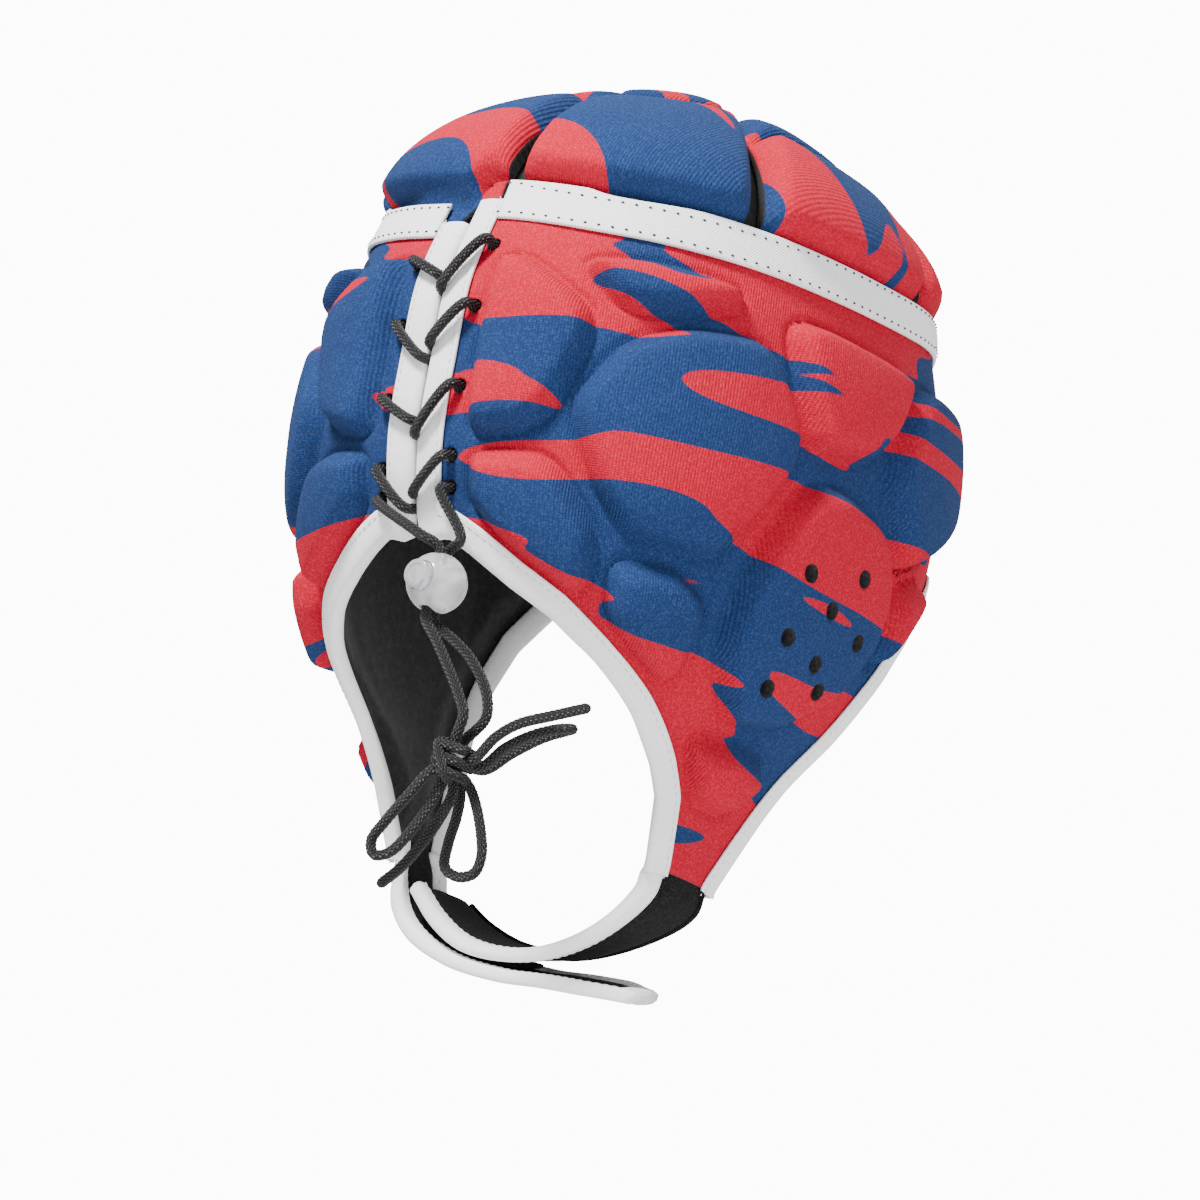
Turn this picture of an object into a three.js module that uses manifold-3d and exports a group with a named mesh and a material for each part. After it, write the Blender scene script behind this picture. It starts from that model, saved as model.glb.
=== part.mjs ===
// A rugby scrum cap: a padded cloth cap with ear cups, a laced back and a chin strap.
// Millimetres, +Z up, the face toward -Y, the laces toward +Y, the wearer's right toward -X.
// Heights are measured from the ring where the crown meets the sides. The last lines lower the
// whole cap, so that the origin is the top of the head hollow.
import * as THREE from 'three';
import { mergeVertices } from 'three/addons/utils/BufferGeometryUtils.js';
import Module from 'manifold-3d';

// Outer size of the cap, over its pads
const halfWidth = 87;
const backReach = 106;
const frontReach = 101;
const crownRise = 57;
const skirtDrop = 177;
const planSquareness = 2.3;
const crownSquareness = 1.8;

// Wall: pads stand on a foam sheet with a lining inside
const padRise = 6.5;
const sheet = 3.2;
const lining = 1;
const liningGap = 0.9;
const padSlope = 7;
const gap = 0.3;

// Band over the seam between crown and sides
const bandWidth = 11.5;
const bandThick = 1.2;

// Binding tape folded over the edges
const tapeWidth = 6.5;
const tapeThick = 1;
const tapeSlack = 1.5;
const laceGap = 8;

// Openings in the wall
const laceHole = 4.6;
const earHole = 5.4;
const slitCount = 7;
const slitTurn = 7;
const slitWide = 4.5;
const slitNarrow = 2.4;
const slitReach = 0.5;

// Lace, cord lock and knot
const laceThick = 3;
const laceHoleSide = 15;
const laceCross = 4;
const laceDip = 0.062;
const lockRadius = 8.5;
const plungerRadius = 4;
const plungerStandOut = 1.6;
const pressTravel = 2;
const fitGap = 0.4;
const knotRadius = 6.5;
const lockAt = new THREE.Vector3(-17, 96, -119);
const knotAt = new THREE.Vector3(-36, 96, -170);

// Chin strap
const strapWidth = 28;
const strapThick = 3.2;
const strapTrim = 6;
const hookThick = 1.8;
const strapRoll = 0.26;
const tipTaper = 0.55;
const tipStart = 27;
const tipEnd = 43;

// Plan sections, a row for each: drop as a share of skirtDrop, then shares of the outer size
const sections = [
  { drop: 0, wide: 0.92, back: 0.92, front: 0.84 },
  { drop: 0.166, wide: 0.985, back: 1, front: 0.965 },
  { drop: 0.306, wide: 1, back: 1, front: 1 },
  { drop: 0.444, wide: 0.989, back: 0.981, front: 0.98 },
  { drop: 0.594, wide: 0.943, back: 0.896, front: 0.931 },
  { drop: 0.722, wide: 0.862, back: 0.783, front: 0.812 },
  { drop: 0.833, wide: 0.759, back: 0.585, front: 0.634 },
  { drop: 1, wide: 0.655, back: 0.4, front: 0.46 },
];

// Middle of the band, all the way round: it ends higher on the right of the laces than on the left
const bandLine = [
  { azimuth: -180, drop: -0.04 },
  { azimuth: -120, drop: -0.03 },
  { azimuth: -80, drop: 0.008 },
  { azimuth: -45, drop: 0.02 },
  { azimuth: -25, drop: 0.042 },
  { azimuth: -2, drop: 0.06 },
  { azimuth: 2, drop: 0.017 },
  { azimuth: 30, drop: 0.033 },
  { azimuth: 50, drop: 0.03 },
  { azimuth: 75, drop: 0.02 },
  { azimuth: 100, drop: 0 },
  { azimuth: 125, drop: -0.03 },
  { azimuth: 180, drop: -0.04 },
];

// The flap over the jaw, in degrees
const flapBack = 64;
const flapFront = 102;
const flapMiddle = (flapBack + flapFront) / 2;

// Lower edge of a side, from the laces to the brow: azimuth in degrees, drop as a share of skirtDrop
const rim = [
  { azimuth: 0, drop: 0.589 },
  { azimuth: 9, drop: 0.592 },
  { azimuth: 14, drop: 0.613 },
  { azimuth: 23, drop: 0.656 },
  { azimuth: 32, drop: 0.693 },
  { azimuth: 41, drop: 0.743 },
  { azimuth: 50, drop: 0.8 },
  { azimuth: 58, drop: 0.86 },
  { azimuth: 62, drop: 0.903 },
  { azimuth: flapBack, drop: 1 },
  { azimuth: flapFront, drop: 1 },
  { azimuth: 106, drop: 0.903 },
  { azimuth: 108.5, drop: 0.831 },
  { azimuth: 110.5, drop: 0.745 },
  { azimuth: 114, drop: 0.645 },
  { azimuth: 119, drop: 0.54 },
  { azimuth: 126, drop: 0.45 },
  { azimuth: 136, drop: 0.385 },
  { azimuth: 148, drop: 0.345 },
  { azimuth: 160, drop: 0.326 },
  { azimuth: 180, drop: 0.322 },
];

// Pads of one side: corners as [azimuth in degrees, drop in percent of skirtDrop]
const pads = [
  { name: 'back upper', corners: [[12, 12.8], [19, 13.4], [34, 22], [28, 38.2], [23, 41.6], [12, 43.5]] },
  { name: 'back lower', corners: [[14, 46.8], [29, 45.9], [39.5, 57.3], [36, 65.9], [21, 59.2], [14, 54]] },
  { name: 'high lens', corners: [[29, 12.2], [40, 10.5], [58, 10.5], [57, 13.9], [48, 17.7], [38, 19.1]] },
  { name: 'big side', corners: [[40, 25.3], [50, 20.5], [64, 18], [73, 29.6], [73, 36.3], [62, 54.5],
    [44, 54.5], [38, 48.7], [32, 36.3]] },
  { name: 'nape', corners: [[43, 60.2], [54, 58.3], [62, 62.1], [60, 72.6], [55, 75], [43, 67.8]] },
  { name: 'temple upper', corners: [[68, 11.5], [98, 10.5], [100, 13.4], [96, 22.9], [90, 28.7], [77, 31.5], [72, 22.9]] },
  { name: 'temple front', corners: [[103, 10.5], [126, 9.6], [129, 27.7], [116, 37.3], [106, 42], [96, 28.7]] },
  { name: 'cheek', corners: [[108, 45.9], [118, 41.1], [119, 45.9], [111, 57.3], [107, 57.3]] },
  { name: 'ear cup', corners: [[76, 39.2], [84, 35.4], [98, 38.2], [105, 47.8], [105, 57.3], [100, 66.9], [90, 74.5],
    [75, 77.4], [67, 66.9], [69, 54.5]] },
  { name: 'flap', corners: [[66, 81.2], [84, 79.8], [93, 80.7], [94, 84.1], [89, 88.9], [73, 88.9]] },
  { name: 'brow side', corners: [[133, 9.6], [155, 8.6], [156, 22.9], [145, 26.8], [135, 28.7]] },
  { name: 'brow middle', corners: [[160, 8.6], [177, 8.6], [177, 22.9], [161, 23.9]] },
];

// Holes: five a side for the lace by drop, eight in the ear cup by azimuth and drop
const laceHoleRows = [
  { right: 0.102, left: 0.139 },
  { right: 0.222, left: 0.255 },
  { right: 0.355, left: 0.378 },
  { right: 0.472, left: 0.494 },
  { right: 0.522, left: 0.54 },
];
const earHoles = [
  { azimuth: 79, drop: 0.511 },
  { azimuth: 92, drop: 0.478 },
  { azimuth: 86, drop: 0.549 },
  { azimuth: 78, drop: 0.616 },
  { azimuth: 96, drop: 0.573 },
  { azimuth: 87, drop: 0.634 },
  { azimuth: 78, drop: 0.698 },
  { azimuth: 91, drop: 0.669 },
];

// Columns of the wall's mesh past the lace edge, in degrees
const wallColumns = [13, 21, 29, 37, 45, 52, 58, 62, flapBack, 73, flapMiddle, 93, flapFront, 106, 108.5,
  110.5, 114, 119, 126, 136, 149, 165];

// Chin straps under the flaps: across as a share of halfWidth, drop as a share of skirtDrop
const strapRight = [
  { across: -0.379, drop: 1.0847 },
  { across: -0.184, drop: 1.1215 },
  { across: 0.0, drop: 1.1299 },
  { across: 0.172, drop: 1.1164 },
  { across: 0.31, drop: 1.0825 },
  { across: 0.414, drop: 1.0424 },
];
const strapLeft = [
  { across: 0.425, drop: 1.0932 },
  { across: 0.23, drop: 1.1412 },
  { across: 0.0, drop: 1.1638 },
  { across: -0.184, drop: 1.1695 },
  { across: -0.345, drop: 1.1768 },
  { across: -0.483, drop: 1.1864 },
];

// Free cords: routes of chosen points, in millimetres from the ring
const hangLeft = [[-17, 97.9, -128.8], [-17.8, 98, -130.5], [-22.5, 98.5, -135.2], [-28, 99, -141.5], [-35.5, 99, -151.5],
  [-38, 98.6, -156.5], [-37.3, 98.1, -160], [-36.6, 97.9, -162.7]];
const hangRight = [[-17, 94.1, -128.8], [-18, 94, -130.3], [-23.8, 93.6, -133.6], [-32, 93, -139.5], [-40, 93, -149.5],
  [-41.6, 93.2, -156], [-39, 93.6, -160], [-36.6, 94, -162.5]];
const tailLong = [[-43.2, 96.4, -168.5], [-49, 96.8, -162.5], [-56, 97, -158.6], [-67, 97, -156],
  [-78.5, 96.5, -153.3]];
const bowLoop = [[-43, 92.6, -169.5], [-49.5, 92.6, -164.2], [-58, 92.4, -160.2], [-66, 92, -158.2],
  [-69, 90, -157.5], [-66, 88, -157.4], [-58, 87.8, -159.6], [-49, 88.4, -164.4], [-41.5, 89.2, -169.5]];
const loopLeft = [[-33.2, 101.9, -174.2], [-29.5, 103, -180], [-23, 103.4, -188.5], [-19.3, 103, -194],
  [-20.3, 102, -197.4], [-24.5, 101, -196.5], [-29.5, 99.8, -190], [-32.6, 98.6, -183],
  [-34.2, 97.6, -177.6]];
const loopRight = [[-39.5, 91.2, -175.2], [-42, 90, -180], [-44.6, 89, -187], [-46, 88.6, -193],
  [-44.6, 88.2, -197.6], [-39, 88, -199], [-34, 88.2, -196.5], [-34, 88.8, -190], [-35.6, 89.6, -183],
  [-36, 90.6, -176.4]];
const tailLow = [[-36.2, 94, -177.4], [-34.5, 94.2, -183], [-31.2, 95, -190.5], [-25.6, 96, -199],
  [-19.5, 96.6, -204.6]];

const wallDepth = padRise + sheet;
const liningTop = wallDepth + liningGap;
const liningBottom = liningTop + lining;
const hollowTop = crownRise - liningBottom;
const laceEdge = laceGap / 2 + tapeThick + gap;

// Small helpers
const radians = THREE.MathUtils.degToRad;
const mix = THREE.MathUtils.lerp;
const soft = (low, high, x) => THREE.MathUtils.smoothstep(x, low, high);

function between(rows, key, x, name) {
  let i = 0;
  while (i < rows.length - 2 && x > rows[i + 1][key]) i += 1;
  const slope = (j) => {
    const a = rows[Math.max(j - 1, 0)];
    const b = rows[Math.min(j + 1, rows.length - 1)];
    return (b[name] - a[name]) / (b[key] - a[key]);
  };
  const step = rows[i + 1][key] - rows[i][key];
  const t = THREE.MathUtils.clamp((x - rows[i][key]) / step, 0, 1);
  const low = rows[i][name] * (2 * t ** 3 - 3 * t ** 2 + 1) + slope(i) * step * (t ** 3 - 2 * t ** 2 + t);
  return low + rows[i + 1][name] * (3 * t ** 2 - 2 * t ** 3) + slope(i + 1) * step * (t ** 3 - t ** 2);
}

function straight(rows, key, x, name) {
  let i = 0;
  while (i < rows.length - 2 && x > rows[i + 1][key]) i += 1;
  return mix(rows[i][name], rows[i + 1][name], (x - rows[i][key]) / (rows[i + 1][key] - rows[i][key]));
}

// The cap's outer form. level is 1 at the top of the crown, 0 at the ring and -1 at the flap's end
function formPoint(azimuth, level) {
  const turn = radians(azimuth);
  const drop = Math.max(-level, 0);
  const lift = radians(90 * Math.max(level, 0));
  const round = 2 / crownSquareness;
  const share = Math.max(Math.cos(lift), 0) ** round;
  const wide = halfWidth * between(sections, 'drop', drop, 'wide');
  const back = backReach * between(sections, 'drop', drop, 'back');
  const front = frontReach * between(sections, 'drop', drop, 'front');
  const c = Math.cos(turn);
  const s = Math.sin(turn);
  const plan = (Math.abs(c) ** planSquareness + Math.abs(s) ** planSquareness) ** (-1 / planSquareness);
  const reach = c > 0 ? back : front;
  const z = level > 0 ? crownRise * Math.sin(lift) ** round : -drop * skirtDrop;
  return new THREE.Vector3(-wide * s * plan * share, reach * c * plan * share, z);
}

function formNormal(azimuth, level) {
  if (level > 0.985) return new THREE.Vector3(0, 0, 1);
  const around = formPoint(azimuth + 0.5, level).sub(formPoint(azimuth - 0.5, level));
  const along = formPoint(azimuth, level + 0.006).sub(formPoint(azimuth, level - 0.006));
  return around.cross(along).normalize();
}

function wallPoint(azimuth, level, depth) {
  return formPoint(azimuth, level).addScaledVector(formNormal(azimuth, level), -depth);
}

// The level at which the crown reaches a height over the ring
function crownLevelOf(lift) {
  const share = Math.min(lift / crownRise, 1) ** (crownSquareness / 2);
  return THREE.MathUtils.radToDeg(Math.asin(share)) / 90;
}

const bandDrop = (azimuth) => skirtDrop * straight(bandLine, 'azimuth', azimuth, 'drop');
const levelOf = (drop) => (drop > 0 ? -drop / skirtDrop : crownLevelOf(-drop));
const rimDrop = (azimuth) => skirtDrop * straight(rim, 'azimuth', Math.abs(azimuth), 'drop');

// Pads: how far a place lies inside an outline, in millimetres of cloth
function insideBy(corners, azimuth, drop) {
  const place = (corner) => new THREE.Vector2(radians(corner[0]) * halfWidth, corner[1] * skirtDrop / 100);
  const here = new THREE.Vector2(radians(azimuth) * halfWidth, drop);
  let nearest = Infinity;
  let inside = false;
  corners.forEach((corner, i) => {
    const a = place(corner);
    const b = place(corners[(i + 1) % corners.length]);
    const side = b.clone().sub(a);
    const t = THREE.MathUtils.clamp(here.clone().sub(a).dot(side) / side.lengthSq(), 0, 1);
    nearest = Math.min(nearest, here.distanceTo(a.clone().addScaledVector(side, t)));
    const crosses = (a.y > here.y) !== (b.y > here.y);
    if (crosses && here.x < a.x + (side.x * (here.y - a.y)) / side.y) inside = !inside;
  });
  return inside ? nearest : -nearest;
}

function sidePadShare(azimuth, level) {
  const drop = -level * skirtDrop;
  const depths = pads.map((pad) => insideBy(pad.corners, Math.abs(azimuth), drop));
  return soft(-padSlope * 0.25, padSlope * 0.75, Math.max(...depths));
}

function crownPadShare(azimuth, level) {
  const pitch = 360 / slitCount;
  const off = Math.abs(THREE.MathUtils.euclideanModulo(azimuth - slitTurn, pitch) - pitch / 2);
  const across = radians(pitch / 2 - off) * halfWidth * Math.cos(radians(90 * Math.max(level, 0)));
  const quarter = (Math.PI / 2) * halfWidth;
  const fromBand = formPoint(azimuth, level).z + bandDrop(azimuth) - bandWidth / 2;
  const fromFold = Math.abs(level - 0.55) * quarter;
  const fromTop = (0.93 - level) * quarter;
  return soft(0, padSlope, Math.min(across, fromBand, fromFold, fromTop));
}

// Solids from rings of points: each ring is one closed section, all with the same count
const toVector = (p) => (p.isVector3 ? p : new THREE.Vector3(...p));

function solid(triangles) {
  const flat = [];
  triangles.forEach(([a, b, c]) => {
    const thin = a.distanceTo(b) < 1e-3 || b.distanceTo(c) < 1e-3 || c.distanceTo(a) < 1e-3;
    if (!thin) flat.push(...a.toArray(), ...b.toArray(), ...c.toArray());
  });
  let volume = 0;
  const at = (i) => new THREE.Vector3(flat[i], flat[i + 1], flat[i + 2]);
  for (let i = 0; i < flat.length; i += 9) volume += at(i).dot(at(i + 3).cross(at(i + 6)));
  if (volume < 0) {
    for (let i = 0; i < flat.length; i += 9) {
      const second = flat.slice(i + 3, i + 6);
      for (let k = 0; k < 3; k += 1) {
        flat[i + 3 + k] = flat[i + 6 + k];
        flat[i + 6 + k] = second[k];
      }
    }
  }
  const geometry = new THREE.BufferGeometry();
  geometry.setAttribute('position', new THREE.Float32BufferAttribute(flat, 3));
  const welded = mergeVertices(geometry, 1e-3);
  welded.computeVertexNormals();
  return welded;
}

function quads(triangles, rows, closeAcross) {
  for (let i = 0; i < rows.length - 1; i += 1) {
    const count = rows[i].length;
    const last = closeAcross ? count : count - 1;
    for (let j = 0; j < last; j += 1) {
      const k = (j + 1) % count;
      const [a, b, c, d] = [rows[i][j], rows[i + 1][j], rows[i + 1][k], rows[i][k]];
      if (a.distanceTo(c) <= b.distanceTo(d)) triangles.push([a, b, c], [a, c, d]);
      else triangles.push([a, b, d], [b, c, d]);
    }
  }
}

function loft(rings) {
  const triangles = [];
  quads(triangles, rings, true);
  const cap = (ring, flip) => {
    const middle = ring.reduce((sum, p) => sum.add(p), new THREE.Vector3()).divideScalar(ring.length);
    ring.forEach((p, j) => {
      const q = ring[(j + 1) % ring.length];
      triangles.push(flip ? [middle, q, p] : [middle, p, q]);
    });
  };
  cap(rings[0], false);
  cap(rings[rings.length - 1], true);
  return solid(triangles);
}

// A section whose cap can't be a fan from its middle, such as a folded tape, is split in quads
function loftFolded(rings) {
  const triangles = [];
  quads(triangles, rings, true);
  const close = (ring, flip) => {
    for (let j = 0; j < ring.length / 2 - 1; j += 1) {
      const [a, b, c, d] = [ring[j], ring[j + 1], ring[ring.length - 2 - j], ring[ring.length - 1 - j]];
      triangles.push(flip ? [a, c, b] : [a, b, c], flip ? [a, d, c] : [a, c, d]);
    }
  };
  close(rings[0], false);
  close(rings[rings.length - 1], true);
  return solid(triangles);
}

function wallSolid(columns, levelsAt, outerDepth, innerDepth, around) {
  const outer = columns.map((a) => levelsAt(a).map((l) => wallPoint(a, l, outerDepth(a, l))));
  const inner = columns.map((a) => levelsAt(a).map((l) => wallPoint(a, l, innerDepth)));
  const triangles = [];
  const turned = (list) => list.map(([a, b, c]) => [a, c, b]);
  const outside = [];
  const inside = [];
  const wrap = around ? [...outer, outer[0]] : outer;
  const wrapIn = around ? [...inner, inner[0]] : inner;
  quads(outside, wrap, false);
  quads(inside, wrapIn, false);
  triangles.push(...outside, ...turned(inside));
  const rows = wrap[0].length;
  const edge = (list, listIn) => {
    const strip = [];
    quads(strip, [list, listIn], false);
    return strip;
  };
  triangles.push(...edge(wrap.map((c) => c[0]), wrapIn.map((c) => c[0])));
  triangles.push(...turned(edge(wrap.map((c) => c[rows - 1]), wrapIn.map((c) => c[rows - 1]))));
  if (!around) {
    triangles.push(...turned(edge(wrap[0], wrapIn[0])));
    triangles.push(...edge(wrap[wrap.length - 1], wrapIn[wrap.length - 1]));
  }
  return solid(triangles);
}

// Booleans
const kernel = await Module();
kernel.setup();

function toManifold(geometry) {
  const source = geometry.index ? geometry : mergeVertices(geometry, 1e-3);
  const bare = new THREE.BufferGeometry();
  bare.setAttribute('position', source.getAttribute('position').clone());
  bare.setIndex(source.index.clone());
  const welded = mergeVertices(bare, 1e-3);
  const mesh = new kernel.Mesh({
    numProp: 3,
    vertProperties: new Float32Array(welded.getAttribute('position').array),
    triVerts: new Uint32Array(welded.index.array),
  });
  mesh.merge();
  return new kernel.Manifold(mesh);
}

function fromManifold(shape) {
  const mesh = shape.getMesh();
  const geometry = new THREE.BufferGeometry();
  geometry.setAttribute('position', new THREE.BufferAttribute(mesh.vertProperties.slice(), 3));
  geometry.setIndex(new THREE.BufferAttribute(mesh.triVerts.slice(), 1));
  geometry.computeVertexNormals();
  return geometry;
}

function cut(geometry, tools) {
  const body = toManifold(geometry);
  return fromManifold(tools.reduce((rest, tool) => rest.subtract(toManifold(tool)), body));
}

function alignedTo(geometry, at, direction) {
  const up = new THREE.Vector3(0, 1, 0);
  geometry.applyQuaternion(new THREE.Quaternion().setFromUnitVectors(up, direction));
  geometry.translate(at.x, at.y, at.z);
  return geometry;
}

// Mesh columns and rows of the wall
const degreesBack = (mm) => THREE.MathUtils.radToDeg(mm / (backReach * 0.94));
const sideEdge = degreesBack(laceEdge);
const sideLeg = degreesBack(laceEdge + tapeWidth);
const bandStart = degreesBack(laceEdge + tapeWidth + gap);
const frontEdge = 180 - degreesBack(gap / 2);
const sideColumns = [sideEdge, sideLeg, bandStart, ...wallColumns, frontEdge];

// How far up the tape's inner edge is, so that its width stays the same along a steep edge
function legDrop(azimuth) {
  const step = 1.5;
  const a = Math.abs(azimuth);
  const ahead = formPoint(a + step, levelOf(rimDrop(Math.min(a + step, 180))));
  const behind = formPoint(a - step, levelOf(rimDrop(Math.max(a - step, 0))));
  const side = Math.hypot(ahead.x - behind.x, ahead.y - behind.y);
  const slope = Math.abs(ahead.z - behind.z) / side;
  return rimDrop(a) - Math.min(tapeWidth * Math.hypot(1, slope), tapeWidth * 2.4);
}

function sideLevels(azimuth, inner) {
  const low = bandDrop(azimuth) + bandWidth / 2;
  const leg = legDrop(azimuth);
  const drops = [bandDrop(azimuth) + gap / 2];
  for (let i = 0; i <= inner; i += 1) drops.push(mix(low, leg, i / inner));
  drops.push(rimDrop(azimuth));
  return drops.map(levelOf);
}

const shellLevels = (azimuth) => sideLevels(azimuth, 5);
const liningLevels = (azimuth) => sideLevels(azimuth, 3);
const crownShares = [0.34, 0.55, 0.78, 1];

function crownLevels(azimuth) {
  const drop = bandDrop(azimuth);
  const [edge, bandTop] = [drop - gap / 2, drop - bandWidth / 2].map(levelOf);
  return [edge, bandTop, mix(bandTop, crownShares[0], 0.35), ...crownShares];
}

// Pieces of cloth wall
const sideDepth = (azimuth, level) => padRise * (1 - sidePadShare(azimuth, level));
const crownDepth = (azimuth, level) => padRise * (1 - crownPadShare(azimuth, level));

function wallHole(azimuth, level, size) {
  const pin = new THREE.CylinderGeometry(size / 2, size / 2, 5 * wallDepth, 6);
  return alignedTo(pin, formPoint(azimuth, level), formNormal(azimuth, level));
}

const holeDrop = (row, side) => (side > 0 ? row.right : row.left);
const laceHoles = (side) => laceHoleRows.map((row) => (
  wallHole(side * degreesBack(laceHoleSide), -holeDrop(row, side), laceHole)));
const earCupHoles = (side) => earHoles.map((hole) => wallHole(side * hole.azimuth, -hole.drop, earHole));

const sideShell = (side) => {
  const columns = sideColumns.map((a) => side * a);
  const holes = [...laceHoles(side), ...earCupHoles(side)];
  return cut(wallSolid(columns, shellLevels, sideDepth, wallDepth, false), holes);
};

const sideLining = (side) => {
  const columns = sideColumns.map((a) => side * a);
  return cut(wallSolid(columns, liningLevels, () => liningTop, liningBottom, false), laceHoles(side));
};

const sideRing = [...sideColumns, ...sideColumns.slice().reverse().map((a) => 360 - a)];
const ringColumns = [2, ...sideRing, 358];
const signed = (a) => (a > 180 ? a - 360 : a);

// A crown slit is a wedge: wide at the band, narrow up in the crown
function slitTool(azimuth) {
  const low = levelOf(bandDrop(signed(azimuth)) - bandWidth / 2 - 1);
  const rings = [low, mix(low, slitReach, 0.5), slitReach].map((level, i) => {
    const half = [slitWide, mix(slitWide, slitNarrow, 0.6), slitNarrow / 2][i] / 2;
    const here = formPoint(azimuth, level);
    const out = formNormal(azimuth, level);
    const across = formPoint(azimuth + 1, level).sub(formPoint(azimuth - 1, level)).normalize();
    const corner = (side, lift) => here.clone().addScaledVector(across, side * half).addScaledVector(out, lift);
    return [corner(-1, 4), corner(1, 4), corner(1, -wallDepth - 8), corner(-1, -wallDepth - 8)];
  });
  return loft(rings);
}

const slits = () => Array.from({ length: slitCount }, (_, i) => slitTool(slitTurn + (i * 360) / slitCount));

function crownShell() {
  const body = wallSolid(ringColumns, (a) => crownLevels(signed(a)), (a, l) => crownDepth(signed(a), l),
    wallDepth, true);
  return cut(body, slits());
}

function crownLining() {
  const levels = (a) => crownLevels(signed(a)).filter((level, i) => i !== 1);
  return wallSolid(ringColumns, levels, () => liningTop, liningBottom, true);
}

function crownBand() {
  const columns = sideRing.slice(2, -2);
  const low = padRise - gap;
  const rings = columns.map((a) => {
    const middle = bandDrop(signed(a));
    const levels = [middle - bandWidth / 2, middle, middle + bandWidth / 2].map(levelOf);
    const top = levels.map((l) => wallPoint(a, l, low - bandThick));
    const under = levels.map((l) => wallPoint(a, l, low)).reverse();
    return [...top, ...under];
  });
  return loftFolded(rings);
}

// Folded tape: a section runs from the leg's end over the wall's edge and back inside
function tapeSection(edge, leg, along) {
  const out = (depth) => wallPoint(edge[0], edge[1], depth);
  const middle = (padRise + liningBottom) / 2;
  const legMiddle = wallPoint(leg[0], leg[1], middle);
  const away = out(middle).sub(legMiddle);
  away.addScaledVector(along, -away.dot(along)).normalize();
  const edgePoint = (depth, past) => out(depth).addScaledVector(away, past);
  const legPoint = (depth) => wallPoint(leg[0], leg[1], depth);
  const top = padRise - gap;
  const under = liningBottom + tapeSlack;
  return [
    legPoint(top - tapeThick), edgePoint(top - tapeThick, gap), edgePoint(top, gap + tapeThick),
    edgePoint(under, gap + tapeThick), edgePoint(under + tapeThick, gap), legPoint(under + tapeThick),
    legPoint(under), edgePoint(under, gap), edgePoint(top, gap), legPoint(top),
  ];
}

function tapeAlong(stations) {
  return loftFolded(stations.map(({ edge, leg }, i) => {
    const before = stations[Math.max(i - 1, 0)].edge;
    const after = stations[Math.min(i + 1, stations.length - 1)].edge;
    const along = wallPoint(after[0], after[1], padRise).sub(wallPoint(before[0], before[1], padRise));
    return tapeSection(edge, leg, along.normalize());
  }));
}

function napeBinding(side) {
  const down = shellLevels(side * sideEdge);
  const lastRow = down.length - 1;
  const stations = down.map((level, i) => {
    const legLevel = shellLevels(side * sideLeg)[Math.min(i, lastRow - 1)];
    return { edge: [side * sideEdge, level], leg: [side * sideLeg, legLevel] };
  });
  sideColumns.filter((a) => a > bandStart && a <= flapBack).forEach((a) => {
    stations.push({ edge: [side * a, levelOf(rimDrop(a))], leg: [side * a, levelOf(legDrop(a))] });
  });
  return tapeAlong(stations);
}

function faceBinding() {
  const right = sideColumns.filter((a) => a >= flapFront && a < frontEdge);
  const columns = [...right, 180, ...right.slice().reverse().map((a) => 360 - a)];
  return tapeAlong(columns.map((a) => {
    const b = signed(a);
    return { edge: [a, levelOf(rimDrop(b))], leg: [a, levelOf(legDrop(b))] };
  }));
}

// Chin strap: a ribbon along a line in the plane across the head
function flapEnd(side) {
  const depth = (padRise + liningBottom) / 2;
  const down = wallPoint(side * flapMiddle, -1, depth).sub(wallPoint(side * flapMiddle, -0.98, depth)).normalize();
  const corners = [flapBack, 73, flapMiddle, 93, flapFront].flatMap((a) => [padRise, liningBottom].map((d) => wallPoint(side * a, -1, d)));
  const reach = Math.max(...corners.map((p) => p.dot(down)));
  const start = wallPoint(side * flapMiddle, -1, depth);
  return { start: start.addScaledVector(down, reach - start.dot(down) + gap), down };
}

const strapMiddle = (wallPoint(flapBack, -1, wallDepth).y + wallPoint(flapFront, -1, wallDepth).y) / 2;

function ribbon(points, thick, width, from, to, shift) {
  const curve = new THREE.CatmullRomCurve3(points.map(([x, z]) => new THREE.Vector3(x, z, 0)), false, 'centripetal');
  const steps = Math.max(4, Math.round((to - from) * 12));
  const left = [];
  const right = [];
  for (let i = 0; i <= steps; i += 1) {
    const t = from + ((to - from) * i) / steps;
    const p = curve.getPointAt(t);
    const along = curve.getTangentAt(t);
    left.push(new THREE.Vector2(p.x - along.y * (shift + thick / 2), p.y + along.x * (shift + thick / 2)));
    right.push(new THREE.Vector2(p.x - along.y * (shift - thick / 2), p.y + along.x * (shift - thick / 2)));
  }
  const shape = new THREE.Shape([...left, ...right.reverse()]);
  const geometry = new THREE.ExtrudeGeometry(shape, { depth: width, bevelEnabled: false, steps: 1 });
  geometry.rotateX(Math.PI / 2);
  geometry.translate(0, strapMiddle + width / 2, 0);
  return geometry;
}

// A strap rolls a little on its way under the chin, and the left one narrows at its free end
function settle(geometry, tip) {
  const place = geometry.getAttribute('position');
  for (let i = 0; i < place.count; i += 1) {
    const z = place.getZ(i);
    const roll = strapRoll * soft(-skirtDrop - 24, -skirtDrop - 2, z) - strapRoll;
    const narrow = tip ? 1 - tipTaper * soft(tipStart, tipEnd, -place.getX(i)) : 1;
    const y = strapMiddle + (place.getY(i) - strapMiddle) * narrow;
    place.setY(i, y);
    place.setZ(i, z + (y - strapMiddle) * roll);
  }
  return geometry;
}

function strapLine(side, rows) {
  const { start, down } = flapEnd(side);
  const next = start.clone().addScaledVector(down, tapeWidth * 0.77);
  return [[start.x, start.z], [next.x, next.z], ...rows.map((r) => [r.across * halfWidth, -r.drop * skirtDrop])];
}

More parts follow.
